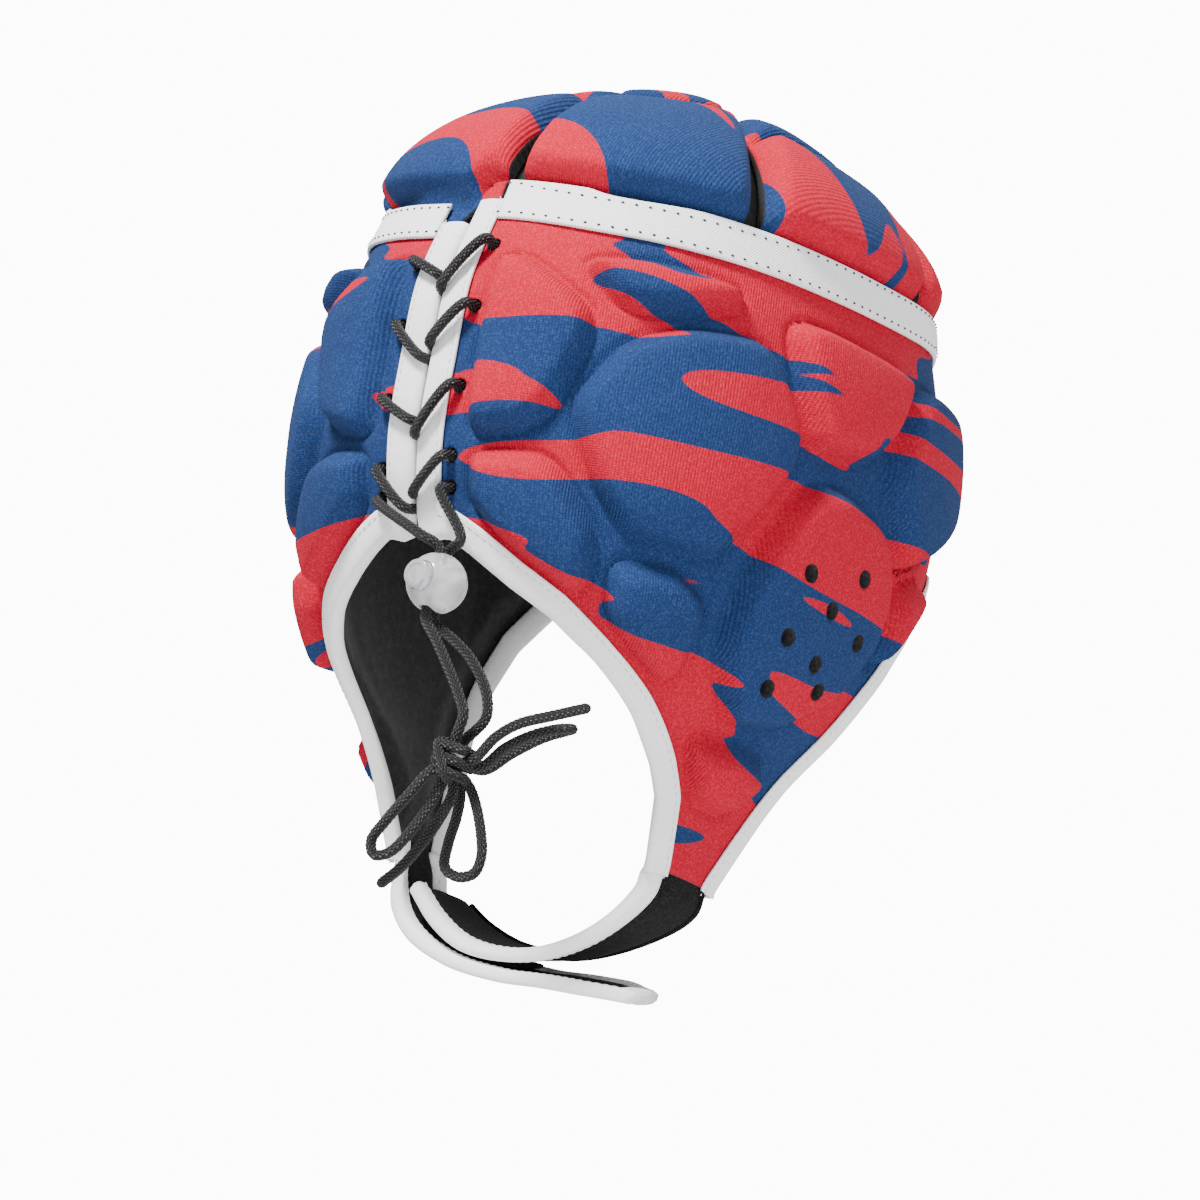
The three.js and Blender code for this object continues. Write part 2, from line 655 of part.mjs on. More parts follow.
const strapRightLine = strapLine(1, strapRight);
const strapLeftLine = strapLine(-1, strapLeft);

function strapPieces(name, line, tip) {
  const core = strapWidth - 2 * strapTrim - 2 * gap;
  const pieces = [[name, settle(ribbon(line, strapThick, core, 0, 1, 0), tip), 'black']];
  [['back', 1], ['front', -1]].forEach(([place, way]) => {
    const trim = ribbon(line, strapThick, strapTrim, 0, 1, 0);
    trim.translate(0, way * (core / 2 + gap + strapTrim / 2), 0);
    pieces.push([`${name}_trim_${place}`, settle(trim, tip), 'white']);
  });
  return pieces;
}

// Lace: down one side and up the other, through holes, gap and lock
const inLock = laceThick / 2 + fitGap;

function laceRoute(side) {
  const route = [];
  const inside = liningBottom + tapeSlack + tapeThick + gap + laceThick / 2;
  const over = padRise - tapeThick - 3 * gap - laceThick / 2;
  const holeAt = degreesBack(laceHoleSide);
  const at = (azimuth, drop, depth) => route.push(wallPoint(azimuth, -drop, depth));
  laceHoleRows.forEach((row, i) => {
    const from = side * (i % 2 === 0 ? 1 : -1);
    const drop = holeDrop(row, from);
    at(from * holeAt, drop, inside);
    at(from * holeAt, drop, padRise);
    at(from * (holeAt - 0.7), drop + 0.002, over);
    if (i < laceHoleRows.length - 1) {
      const cross = (row.right + row.left) / 2 + laceDip + (side * laceCross) / 2 / skirtDrop;
      at(from * degreesBack(laceGap / 4), cross - 0.004, over + 0.4);
      at(0, cross, padRise + 1);
      at(0, cross + 0.003, inside);
    }
  });
  const lockTop = lockAt.z + lockRadius;
  const lane = lockAt.y - side * inLock;
  route.push(new THREE.Vector3(lockAt.x + (side > 0 ? -6 : 5), lane - side * 0.6 + 3.5, lockTop + 4));
  route.push(new THREE.Vector3(lockAt.x, lane, lockTop + 0.8));
  route.push(new THREE.Vector3(lockAt.x, lane, lockAt.z - lockRadius - 0.4));
  return route;
}

function tube(points, thick) {
  const rings = points.map((p, i) => {
    const before = points[Math.max(i - 1, 0)];
    const after = points[Math.min(i + 1, points.length - 1)];
    return { p, along: after.clone().sub(before).normalize() };
  });
  let across = new THREE.Vector3(1, 0, 0).cross(rings[0].along);
  if (across.length() < 0.2) across = new THREE.Vector3(0, 0, 1).cross(rings[0].along);
  return loft(rings.map(({ p, along }) => {
    across = across.clone().addScaledVector(along, -across.dot(along)).normalize();
    const other = along.clone().cross(across);
    return Array.from({ length: 6 }, (_, k) => {
      const turn = (k * Math.PI) / 3;
      const out = across.clone().multiplyScalar(Math.cos(turn)).addScaledVector(other, Math.sin(turn));
      return p.clone().addScaledVector(out, thick / 2);
    });
  }));
}

function threadedLace() {
  return tube([...laceRoute(1).reverse(), ...laceRoute(-1)], laceThick);
}

function freeCord(route, steps) {
  const curve = new THREE.CatmullRomCurve3(route.map(toVector), false, 'centripetal');
  const section = new THREE.Shape();
  section.absarc(0, 0, laceThick / 2, 0, 2 * Math.PI, false);
  const options = { steps, curveSegments: 4, bevelEnabled: false, extrudePath: curve };
  return new THREE.ExtrudeGeometry(section, options);
}

// Cord lock: a ball with a passage for two cords and a sprung button across it
function slot(wide, long, tall) {
  const box = new THREE.BoxGeometry(wide, long, tall);
  return box;
}

function lockBody() {
  const ball = new THREE.SphereGeometry(lockRadius, 14, 8);
  ball.rotateX(Math.PI / 2);
  const bore = new THREE.CylinderGeometry(plungerRadius + gap, plungerRadius + gap, 2 * lockRadius, 16);
  bore.translate(0, lockRadius - 4 - pressTravel, 0);
  const passage = slot(laceThick + 2 * fitGap, 4 * inLock + 0.4, 3 * lockRadius);
  const body = cut(ball, [bore, passage]);
  return body.translate(lockAt.x, lockAt.y, lockAt.z);
}

function lockButton() {
  const inner = -(4 - gap);
  const outer = lockRadius + plungerStandOut;
  const pin = new THREE.CylinderGeometry(plungerRadius, plungerRadius, outer - inner, 16);
  pin.translate(0, (outer + inner) / 2, 0);
  const long = 4 * inLock + pressTravel + 0.4;
  const hole = slot(laceThick + 2 * fitGap, long, 3 * plungerRadius);
  hole.translate(0, pressTravel / 2, 0);
  return cut(pin, [hole]).translate(lockAt.x, lockAt.y, lockAt.z);
}

function knot() {
  const ball = new THREE.SphereGeometry(knotRadius, 10, 6);
  ball.rotateX(Math.PI / 2);
  return ball.translate(knotAt.x, knotAt.y, knotAt.z);
}

// Finishes
const finishes = {
  cloth: { color: 0xe23e48, roughness: 0.9 },
  crown: { color: 0x3e5e96, roughness: 0.9 },
  black: { color: 0x1c1b1b, roughness: 0.95 },
  white: { color: 0xf0f0f5, roughness: 0.85 },
  cord: { color: 0x1c1b1b, roughness: 0.8 },
  clear: { color: 0xd2d2d7, roughness: 0.25 },
};

const cap = new THREE.Group();
cap.position.z = -hollowTop;

function add(name, geometry, finish) {
  const mesh = new THREE.Mesh(geometry, new THREE.MeshStandardMaterial({ metalness: 0, ...finishes[finish] }));
  mesh.name = name;
  cap.add(mesh);
}

add('crown_shell', crownShell(), 'crown');
add('crown_lining', crownLining(), 'black');
add('crown_band', crownBand(), 'white');
[['right', 1], ['left', -1]].forEach(([name, side]) => {
  add(`side_shell_${name}`, sideShell(side), 'cloth');
  add(`side_lining_${name}`, sideLining(side), 'black');
  add(`nape_binding_${name}`, napeBinding(side), 'white');
});
add('face_binding', faceBinding(), 'white');
strapPieces('chin_strap_right', strapRightLine, false).forEach((piece) => add(...piece));
strapPieces('chin_strap_left', strapLeftLine, true).forEach((piece) => add(...piece));
const hookWidth = strapWidth - 2 * strapTrim - 2;
const hookShift = -(strapThick + hookThick) / 2 - gap;
add('hook_patch', settle(ribbon(strapLeftLine, hookThick, hookWidth, 0.36, 0.62, hookShift), true), 'black');
add('lace', threadedLace(), 'cord');
add('cord_lock', lockBody(), 'clear');
add('cord_lock_button', lockButton(), 'clear');
add('lace_knot', knot(), 'cord');
add('lace_hang_left', freeCord(hangLeft, 8), 'cord');
add('lace_hang_right', freeCord(hangRight, 8), 'cord');
add('lace_tail_long', freeCord(tailLong, 8), 'cord');
add('lace_tail_low', freeCord(tailLow, 7), 'cord');
add('lace_bow_loop', freeCord(bowLoop, 15), 'cord');
add('lace_loop_left', freeCord(loopLeft, 12), 'cord');
add('lace_loop_right', freeCord(loopRight, 13), 'cord');

const part = new THREE.Group();
part.add(cap);
export default part;
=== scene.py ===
"""A laced rugby scrum cap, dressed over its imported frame."""

from __future__ import annotations

import logging
import math
from dataclasses import dataclass, field
from enum import Enum
from typing import Iterable, Sequence

import bmesh
import bpy
import numpy as np
from mathutils import Matrix, Vector, noise

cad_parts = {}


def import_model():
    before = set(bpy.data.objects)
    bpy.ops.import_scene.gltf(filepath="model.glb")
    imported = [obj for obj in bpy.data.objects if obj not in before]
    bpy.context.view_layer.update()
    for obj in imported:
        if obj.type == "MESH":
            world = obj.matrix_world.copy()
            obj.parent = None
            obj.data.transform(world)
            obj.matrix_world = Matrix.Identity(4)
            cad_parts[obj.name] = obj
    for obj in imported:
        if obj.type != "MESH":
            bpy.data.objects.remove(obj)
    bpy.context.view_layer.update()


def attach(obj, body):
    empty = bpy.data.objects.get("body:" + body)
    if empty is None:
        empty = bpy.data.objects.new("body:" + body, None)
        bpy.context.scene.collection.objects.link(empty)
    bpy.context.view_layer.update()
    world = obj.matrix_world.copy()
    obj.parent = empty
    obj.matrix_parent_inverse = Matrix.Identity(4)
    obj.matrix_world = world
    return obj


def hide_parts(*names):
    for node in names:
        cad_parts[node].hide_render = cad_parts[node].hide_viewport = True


LOG = logging.getLogger("scrum_cap")
MM = 0.001
Array = np.ndarray
Colour = tuple[float, float, float]
Point = tuple[float, float, float]
Material = bpy.types.Material
Piece = bpy.types.Object
MERGE = 0.00002


class Side(Enum):
    """The two sides of the cap, by the sign of their azimuth."""

    RIGHT = 1
    LEFT = -1

    @property
    def word(self) -> str:
        """The side's name in lower case."""
        return self.name.lower()


def soft(low: float, high: float, x: Array) -> Array:
    """A smooth step from 0 at low to 1 at high."""
    t = np.clip((np.asarray(x, float) - low) / (high - low), 0.0, 1.0)
    return t * t * (3.0 - 2.0 * t)


def blended_row(places: Sequence[float], values: Sequence[float], x: Array) -> Array:
    """Reads a table smoothly, with one slope at each row.

    Args:
        places: Where the rows are.
        values: Their values.
        x: Where to read.

    Returns:
        The values at x.
    """
    xs, ys, x = np.asarray(places, float), np.asarray(values, float), np.asarray(x, float)
    i = np.searchsorted(xs[1:-1], x, side="left")
    number, last = np.arange(len(xs)), len(xs) - 1
    before, after = np.maximum(number - 1, 0), np.minimum(number + 1, last)
    slope = (ys[after] - ys[before]) / (xs[after] - xs[before])
    step = xs[i + 1] - xs[i]
    t = np.clip((x - xs[i]) / step, 0.0, 1.0)
    low = ys[i] * (2 * t**3 - 3 * t**2 + 1) + slope[i] * step * (t**3 - 2 * t**2 + t)
    return low + ys[i + 1] * (3 * t**2 - 2 * t**3) + slope[i + 1] * step * (t**3 - t**2)


def smooth_line(points: Sequence[Sequence[float]], pitch: float) -> Array:
    """A centripetal curve through points, as stations of equal pitch.

    Args:
        points: The points that the curve goes through.
        pitch: The distance between stations.

    Returns:
        The stations, ends included.
    """
    p = np.asarray(points, float)
    p = np.vstack([2 * p[0] - p[1], p, 2 * p[-1] - p[-2]])
    fine = []
    for a, b, c, d in zip(p[:-3], p[1:-2], p[2:-1], p[3:]):
        spans = [max(np.linalg.norm(q - r) ** 0.5, 1e-4) for q, r in ((b, a), (c, b), (d, c))]
        knots = np.cumsum([0.0] + spans)
        t = np.linspace(knots[1], knots[2], 24, endpoint=False)[:, None]
        k0, k1, k2, k3 = knots
        ab = (k1 - t) / (k1 - k0) * a + (t - k0) / (k1 - k0) * b
        bc = (k2 - t) / (k2 - k1) * b + (t - k1) / (k2 - k1) * c
        cd = (k3 - t) / (k3 - k2) * c + (t - k2) / (k3 - k2) * d
        abc = (k2 - t) / (k2 - k0) * ab + (t - k0) / (k2 - k0) * bc
        bcd = (k3 - t) / (k3 - k1) * bc + (t - k1) / (k3 - k1) * cd
        fine.append((k2 - t) / (k2 - k1) * abc + (t - k1) / (k2 - k1) * bcd)
    fine.append(p[-2][None])
    return even_line(np.vstack(fine), pitch)


def even_line(points: Array, pitch: float) -> Array:
    """The same polyline with stations of equal pitch.

    Args:
        points: Points, in millimetres.
        pitch: The distance between stations.

    Returns:
        The stations, ends included.
    """
    run = line_run(points)
    count = max(2, int(round(run[-1] / pitch)) + 1)
    at = np.linspace(0.0, run[-1], count)
    return np.stack([np.interp(at, run, points[:, k]) for k in range(points.shape[1])], axis=1)


def line_length(points: Array) -> float:
    """The length of a polyline."""
    return float(np.linalg.norm(np.diff(points, axis=0), axis=1).sum())


def line_run(points: Array) -> Array:
    """How far each station of a polyline lies from its start."""
    return np.concatenate([[0.0], np.cumsum(np.linalg.norm(np.diff(points, axis=0), axis=1))])


def directions(points: Array) -> Array:
    """Unit directions along a polyline."""
    along = np.gradient(points, axis=0)
    return along / np.linalg.norm(along, axis=1, keepdims=True)


def eased(row: Array, count: int) -> Array:
    """A row of numbers, each the mean of count neighbours."""
    return np.convolve(np.pad(row, count // 2, mode="edge"), np.ones(count) / count, mode="valid")


def dress(piece: Piece, node: str, slot: str, body: str = "cap") -> None:
    """Puts a piece in its solid's place and on its body.

    Args:
        piece: The piece.
        node: The solid it stands for.
        slot: Not used.
        body: The body it rides on.
    """
    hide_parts(node)
    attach(piece, body)


@dataclass(frozen=True)
class CapForm:
    """The cap's outer form, in millimetres from the ring under the crown."""

    half_width: float = 87.0
    back_reach: float = 106.0
    front_reach: float = 101.0
    crown_rise: float = 57.0
    skirt_drop: float = 177.0
    plan_squareness: float = 2.3
    crown_squareness: float = 1.8
    pad_rise: float = 6.5
    wall_depth: float = 9.7
    lining_top: float = 10.6
    lining_bottom: float = 11.6
    gap: float = 0.3
    band_width: float = 11.5
    tape_width: float = 6.5
    tape_thick: float = 1.0
    tape_slack: float = 1.5
    edge_press: float = 3.4
    lace_edge: float = 5.3
    section_drop: tuple[float, ...] = (0, 0.166, 0.306, 0.444, 0.594, 0.722, 0.833, 1)
    section_wide: tuple[float, ...] = (0.92, 0.985, 1, 0.989, 0.943, 0.862, 0.759, 0.655)
    section_back: tuple[float, ...] = (0.92, 1, 1, 0.981, 0.896, 0.783, 0.585, 0.4)
    section_front: tuple[float, ...] = (0.84, 0.965, 1, 0.98, 0.931, 0.812, 0.634, 0.46)
    flap_turns: tuple[float, ...] = (62.0, 64.0, 102.0, 106.0)
    band_azimuth: tuple[float, ...] = (-180, -120, -80, -45, -25, -2, 2, 30, 50, 75, 100, 125, 180)
    band_place: tuple[float, ...] = (
        -0.04, -0.03, 0.008, 0.02, 0.042, 0.06, 0.017, 0.033, 0.03, 0.02, 0, -0.03, -0.04,
    )
    rim_azimuth: tuple[float, ...] = (
        0, 9, 14, 23, 32, 41, 50, 58, 62, 64, 102, 106, 108.5, 110.5,
        114, 119, 126, 136, 148, 160, 180,
    )
    rim_place: tuple[float, ...] = (
        0.589, 0.592, 0.613, 0.656, 0.693, 0.743, 0.8, 0.86, 0.903, 1, 1, 0.903, 0.831, 0.745,
        0.645, 0.54, 0.45, 0.385, 0.345, 0.326, 0.322,
    )

    @property
    def hollow_top(self) -> float:
        """How far the head hollow's top stands over the ring."""
        return self.crown_rise - self.lining_bottom

    def metres(self, points: Array) -> Array:
        """Points from the ring's millimetres to the frame's metres."""
        return (np.asarray(points, float) - [0.0, 0.0, self.hollow_top]) * MM

    def point(self, azimuth: Array, level: Array) -> Array:
        """Points of the outer form.

        Args:
            azimuth: Degrees round from the laces, right side positive.
            level: 1 at the crown's top, 0 at the ring, -1 at the flap's end.

        Returns:
            The points.
        """
        turn, level = np.radians(azimuth), np.asarray(level, float)
        drop, lift = np.maximum(-level, 0.0), np.radians(90.0 * np.clip(level, 0.0, 1.0))
        power = 2.0 / self.crown_squareness
        share = np.maximum(np.cos(lift), 0.0) ** power
        wide = self.half_width * blended_row(self.section_drop, self.section_wide, drop)
        back = self.back_reach * blended_row(self.section_drop, self.section_back, drop)
        front = self.front_reach * blended_row(self.section_drop, self.section_front, drop)
        c, s = np.cos(turn), np.sin(turn)
        plan = (np.abs(c) ** self.plan_squareness + np.abs(s) ** self.plan_squareness) ** (
            -1.0 / self.plan_squareness
        )
        z = np.where(level > 0, self.crown_rise * np.sin(lift) ** power, -drop * self.skirt_drop)
        y = np.where(c > 0, back, front) * c * plan * share
        return np.stack([-wide * s * plan * share, y, z], axis=-1)

    def cloth_lengths(self, azimuth: Array, level: Array) -> Array:
        """Lengths round and down the cloth of a side, in metres."""
        across = np.radians(azimuth) * self.half_width
        return np.stack([across, level * self.skirt_drop], axis=1) * MM

    def normal(self, azimuth: Array, level: Array) -> Array:
        """Outward directions of the outer form.

        Args:
            azimuth: Degrees round from the laces.
            level: 1 at the crown's top, -1 at the flap's end.

        Returns:
            Unit vectors.
        """
        azimuth, level = np.broadcast_arrays(np.asarray(azimuth, float), np.asarray(level, float))
        around = self.point(azimuth + 0.5, level) - self.point(azimuth - 0.5, level)
        along = self.point(azimuth, level + 0.006) - self.point(azimuth, level - 0.006)
        out = np.cross(around, along)
        out /= np.maximum(np.linalg.norm(out, axis=-1, keepdims=True), 1e-9)
        return np.where((level > 0.985)[..., None], np.array([0.0, 0.0, 1.0]), out)

    def wall(self, azimuth: Array, level: Array, depth: Array) -> Array:
        """Points at a depth under the outer form."""
        depth = np.asarray(depth, float)[..., None]
        return self.point(azimuth, level) - self.normal(azimuth, level) * depth

    def level_of(self, drop: Array) -> Array:
        """The level at a drop in millimetres, negative drops being on the crown.

        Args:
            drop: Millimetres under the ring.

        Returns:
            The level.
        """
        drop = np.asarray(drop, float)
        share = np.clip(-drop / self.crown_rise, 0.0, 1.0) ** (self.crown_squareness / 2)
        return np.where(drop > 0, -drop / self.skirt_drop, np.degrees(np.arcsin(share)) / 90.0)

    def band_drop(self, azimuth: Array) -> Array:
        """The drop of the band's middle."""
        turned = (np.asarray(azimuth, float) + 180.0) % 360.0 - 180.0
        return self.skirt_drop * np.interp(turned, self.band_azimuth, self.band_place)

    def rim_drop(self, azimuth: Array) -> Array:
        """The drop of a side's lower edge."""
        turned = np.abs((np.asarray(azimuth, float) + 180.0) % 360.0 - 180.0)
        return self.skirt_drop * np.interp(turned, self.rim_azimuth, self.rim_place)

    def leg_drop(self, azimuth: Array) -> Array:
        """The drop of the binding's inner edge, so that its width holds on a steep rim.

        Args:
            azimuth: Degrees round from the laces.

        Returns:
            Its drop.
        """
        a = np.abs((np.asarray(azimuth, float) + 180.0) % 360.0 - 180.0)
        far, near = np.minimum(a + 1.5, 180.0), np.maximum(a - 1.5, 0.0)
        ahead = self.point(a + 1.5, self.level_of(self.rim_drop(far)))
        behind = self.point(a - 1.5, self.level_of(self.rim_drop(near)))
        run = np.maximum(np.linalg.norm((ahead - behind)[..., :2], axis=-1), 1e-6)
        slope = np.abs(ahead[..., 2] - behind[..., 2]) / run
        return self.rim_drop(a) - self.tape_width * np.minimum(np.hypot(1.0, slope), 2.4)

    def degrees_back(self, mm: float) -> float:
        """Degrees of azimuth for millimetres beside the laces."""
        return math.degrees(mm / (self.back_reach * 0.94))

    @property
    def side_edge(self) -> float:
        """Azimuth of the cloth's edge beside the laces."""
        return self.degrees_back(self.lace_edge)

    @property
    def side_leg(self) -> float:
        """Azimuth of the inner edge of the binding beside the laces."""
        return self.degrees_back(self.lace_edge + self.tape_width)

    @property
    def front_edge(self) -> float:
        """Azimuth of the cloth's edge at the brow's middle, where the two sides meet."""
        return 180.02


FORM = CapForm()


@dataclass(frozen=True)
class PadLayout:
    """The pads of one side: corners as azimuth and percent of the skirt's drop."""

    slope: float = 7.0
    puff: float = 1.2
    steep: float = 0.56
    crease: float = 1.05
    outlines: tuple[tuple[tuple[float, float], ...], ...] = (
        ((12, 12.8), (19, 13.4), (34, 22), (28, 38.2), (23, 41.6), (12, 43.5)),
        ((14, 46.8), (29, 45.9), (39.5, 57.3), (36, 65.9), (21, 59.2), (14, 54)),
        ((29, 12.2), (40, 10.5), (58, 10.5), (57, 13.9), (48, 17.7), (38, 19.1)),
        ((40, 25.3), (50, 20.5), (64, 18), (73, 29.6), (73, 36.3), (62, 54.5), (44, 54.5),
         (38, 48.7), (32, 36.3)),
        ((43, 60.2), (54, 58.3), (62, 62.1), (60, 72.6), (55, 75), (43, 67.8)),
        ((68, 11.5), (98, 10.5), (100, 13.4), (96, 22.9), (90, 28.7), (77, 31.5), (72, 22.9)),
        ((103, 10.5), (126, 9.6), (129, 27.7), (116, 37.3), (106, 42), (96, 28.7)),
        ((108, 45.9), (118, 41.1), (119, 45.9), (111, 57.3), (107, 57.3)),
        ((76, 39.2), (84, 35.4), (98, 38.2), (105, 47.8), (105, 57.3), (100, 66.9), (90, 74.5),
         (75, 77.4), (67, 66.9), (69, 54.5)),
        ((66, 81.2), (84, 79.8), (93, 80.7), (94, 84.1), (89, 88.9), (73, 88.9)),
        ((133, 9.6), (155, 8.6), (156, 22.9), (145, 26.8), (135, 28.7)),
        ((160, 8.6), (177, 8.6), (177, 22.9), (161, 23.9)),
    )

    def rounded(self, corners: Sequence[tuple[float, float]]) -> Array:
        """An outline in millimetres of cloth, with its corners cut round.

        Args:
            corners: Azimuth and percent of the skirt's drop.

        Returns:
            The outline's points.
        """
        wide, drop = FORM.half_width, FORM.skirt_drop
        p = np.array([(math.radians(a) * wide, d * drop / 100) for a, d in corners])
        for share in (0.16, 0.2, 0.25):
            after = np.roll(p, -1, axis=0)
            pair = [(1 - share) * p + share * after, share * p + (1 - share) * after]
            p = np.stack(pair, axis=1).reshape(-1, 2)
        return p

    def inside_by(self, azimuth: Array, drop: Array) -> Array:
        """How far each place lies inside the nearest pad, in millimetres, negative outside.

        Args:
            azimuth: Degrees round from the laces.
            drop: Millimetres under the ring.

        Returns:
            Millimetres inside.
        """
        here = np.stack([np.radians(np.abs(azimuth)) * FORM.half_width, drop], axis=-1)
        best = np.full(here.shape[:-1], -1e9)
        for corners in self.outlines:
            p = self.rounded(corners)
            near, inside = np.full(best.shape, 1e9), np.zeros(best.shape, bool)
            for a, b in zip(p, np.roll(p, -1, axis=0)):
                way = b - a
                t = np.clip(((here - a) @ way) / (way @ way), 0.0, 1.0)
                near = np.minimum(near, np.linalg.norm(here - a - t[..., None] * way, axis=-1))
                crosses = (a[1] > here[..., 1]) != (b[1] > here[..., 1])
                rise = way[1] if abs(way[1]) > 1e-9 else 1e-9
                edge = a[0] + way[0] * (here[..., 1] - a[1]) / rise
                inside ^= crosses & (here[..., 0] < edge)
            best = np.maximum(best, np.where(inside, near, -near))
        return best

    def depth(self, azimuth: Array, level: Array) -> Array:
        """Depth of the cloth under the outer form, with the pads' puff and their pressed foot."""
        return self.profile(self.inside_by(azimuth, -level * FORM.skirt_drop), -0.22, self.steep)

    def profile(self, inside: Array, low: float, high: float) -> Array:
        """Depth from how far a place lies inside a pad.

        Args:
            inside: Millimetres inside the outline.
            low: Where the slope starts, as a share of its width.
            high: Where it ends.

        Returns:
            Depths under the outer form.
        """
        t = np.clip((inside - self.slope * low) / (self.slope * (high - low)), 0.0, 1.0)
        full = np.sqrt(np.clip(1.0 - (1.0 - t) ** 2.4, 0.0, 1.0)) * t**0.35
        rise = 0.5 * t * t * (3.0 - 2.0 * t) + 0.5 * full
        puff = self.puff * (1.0 - np.exp(-np.maximum(inside - self.slope * high * 0.8, 0.0) / 7.0))
        foot = self.crease * np.exp(-(((inside - self.slope * low + 0.4) / 0.8) ** 2))
        return FORM.pad_rise * (1.0 - rise) - puff + foot


@dataclass(frozen=True)
class CrownLayout:
    """The seven petals of the crown, with a vent slit between each two."""

    slits: int = 7
    turn: float = 7.0
    wide: float = 6.4
    narrow: float = 5.0
    reach: float = 0.5
    pads: PadLayout = field(default_factory=PadLayout)

    @property
    def pitch(self) -> float:
        """Degrees from one slit to the next."""
        return 360.0 / self.slits

    def half_slit(self, level: Array) -> Array:
        """Half the slit's width in millimetres.

        Args:
            level: 1 at the crown's top, -1 at the flap's end.

        Returns:
            Millimetres.
        """
        width = np.interp(level, [0.0, self.reach / 2, self.reach * 0.96, self.reach + 0.02],
                          [self.wide / 2, self.wide / 2 * 0.72, self.narrow / 4, 0.0])
        return np.where(level > self.reach + 0.02, 0.0, width)

    def depth(self, azimuth: Array, level: Array) -> Array:
        """Depth of the crown's cloth under the outer form.

        Args:
            azimuth: Degrees round from the laces.
            level: 1 at the crown's top, -1 at the flap's end.

        Returns:
            Depths in millimetres.
        """
        off = np.abs((azimuth - self.turn) % self.pitch - self.pitch / 2)
        petal = np.floor(((azimuth - self.turn) % 360.0) / self.pitch)
        lift = np.radians(90.0 * np.maximum(level, 0.0))
        across = np.radians(self.pitch / 2 - off) * FORM.half_width * np.cos(lift)
        quarter = math.pi / 2 * FORM.half_width
        height = FORM.point(azimuth, level)[..., 2]
        from_band = height + FORM.band_drop(azimuth) - FORM.band_width / 2
        fold = 0.55 + 0.035 * np.sin(petal * 2.4 + 0.7)
        skew = 0.0025 * ((azimuth - self.turn) % self.pitch - self.pitch / 2) * np.cos(petal * 1.9)
        from_fold = np.abs(level - fold - skew) * quarter
        from_top = (0.93 - level) * quarter
        stack = np.stack([across, from_band, from_fold, from_top])
        inside = -1.6 * np.log(np.exp(-np.clip(stack, -30, 200) / 1.6).sum(axis=0)) - 1.5
        return self.pads.profile(inside, 0.0, 0.8) + 0.6


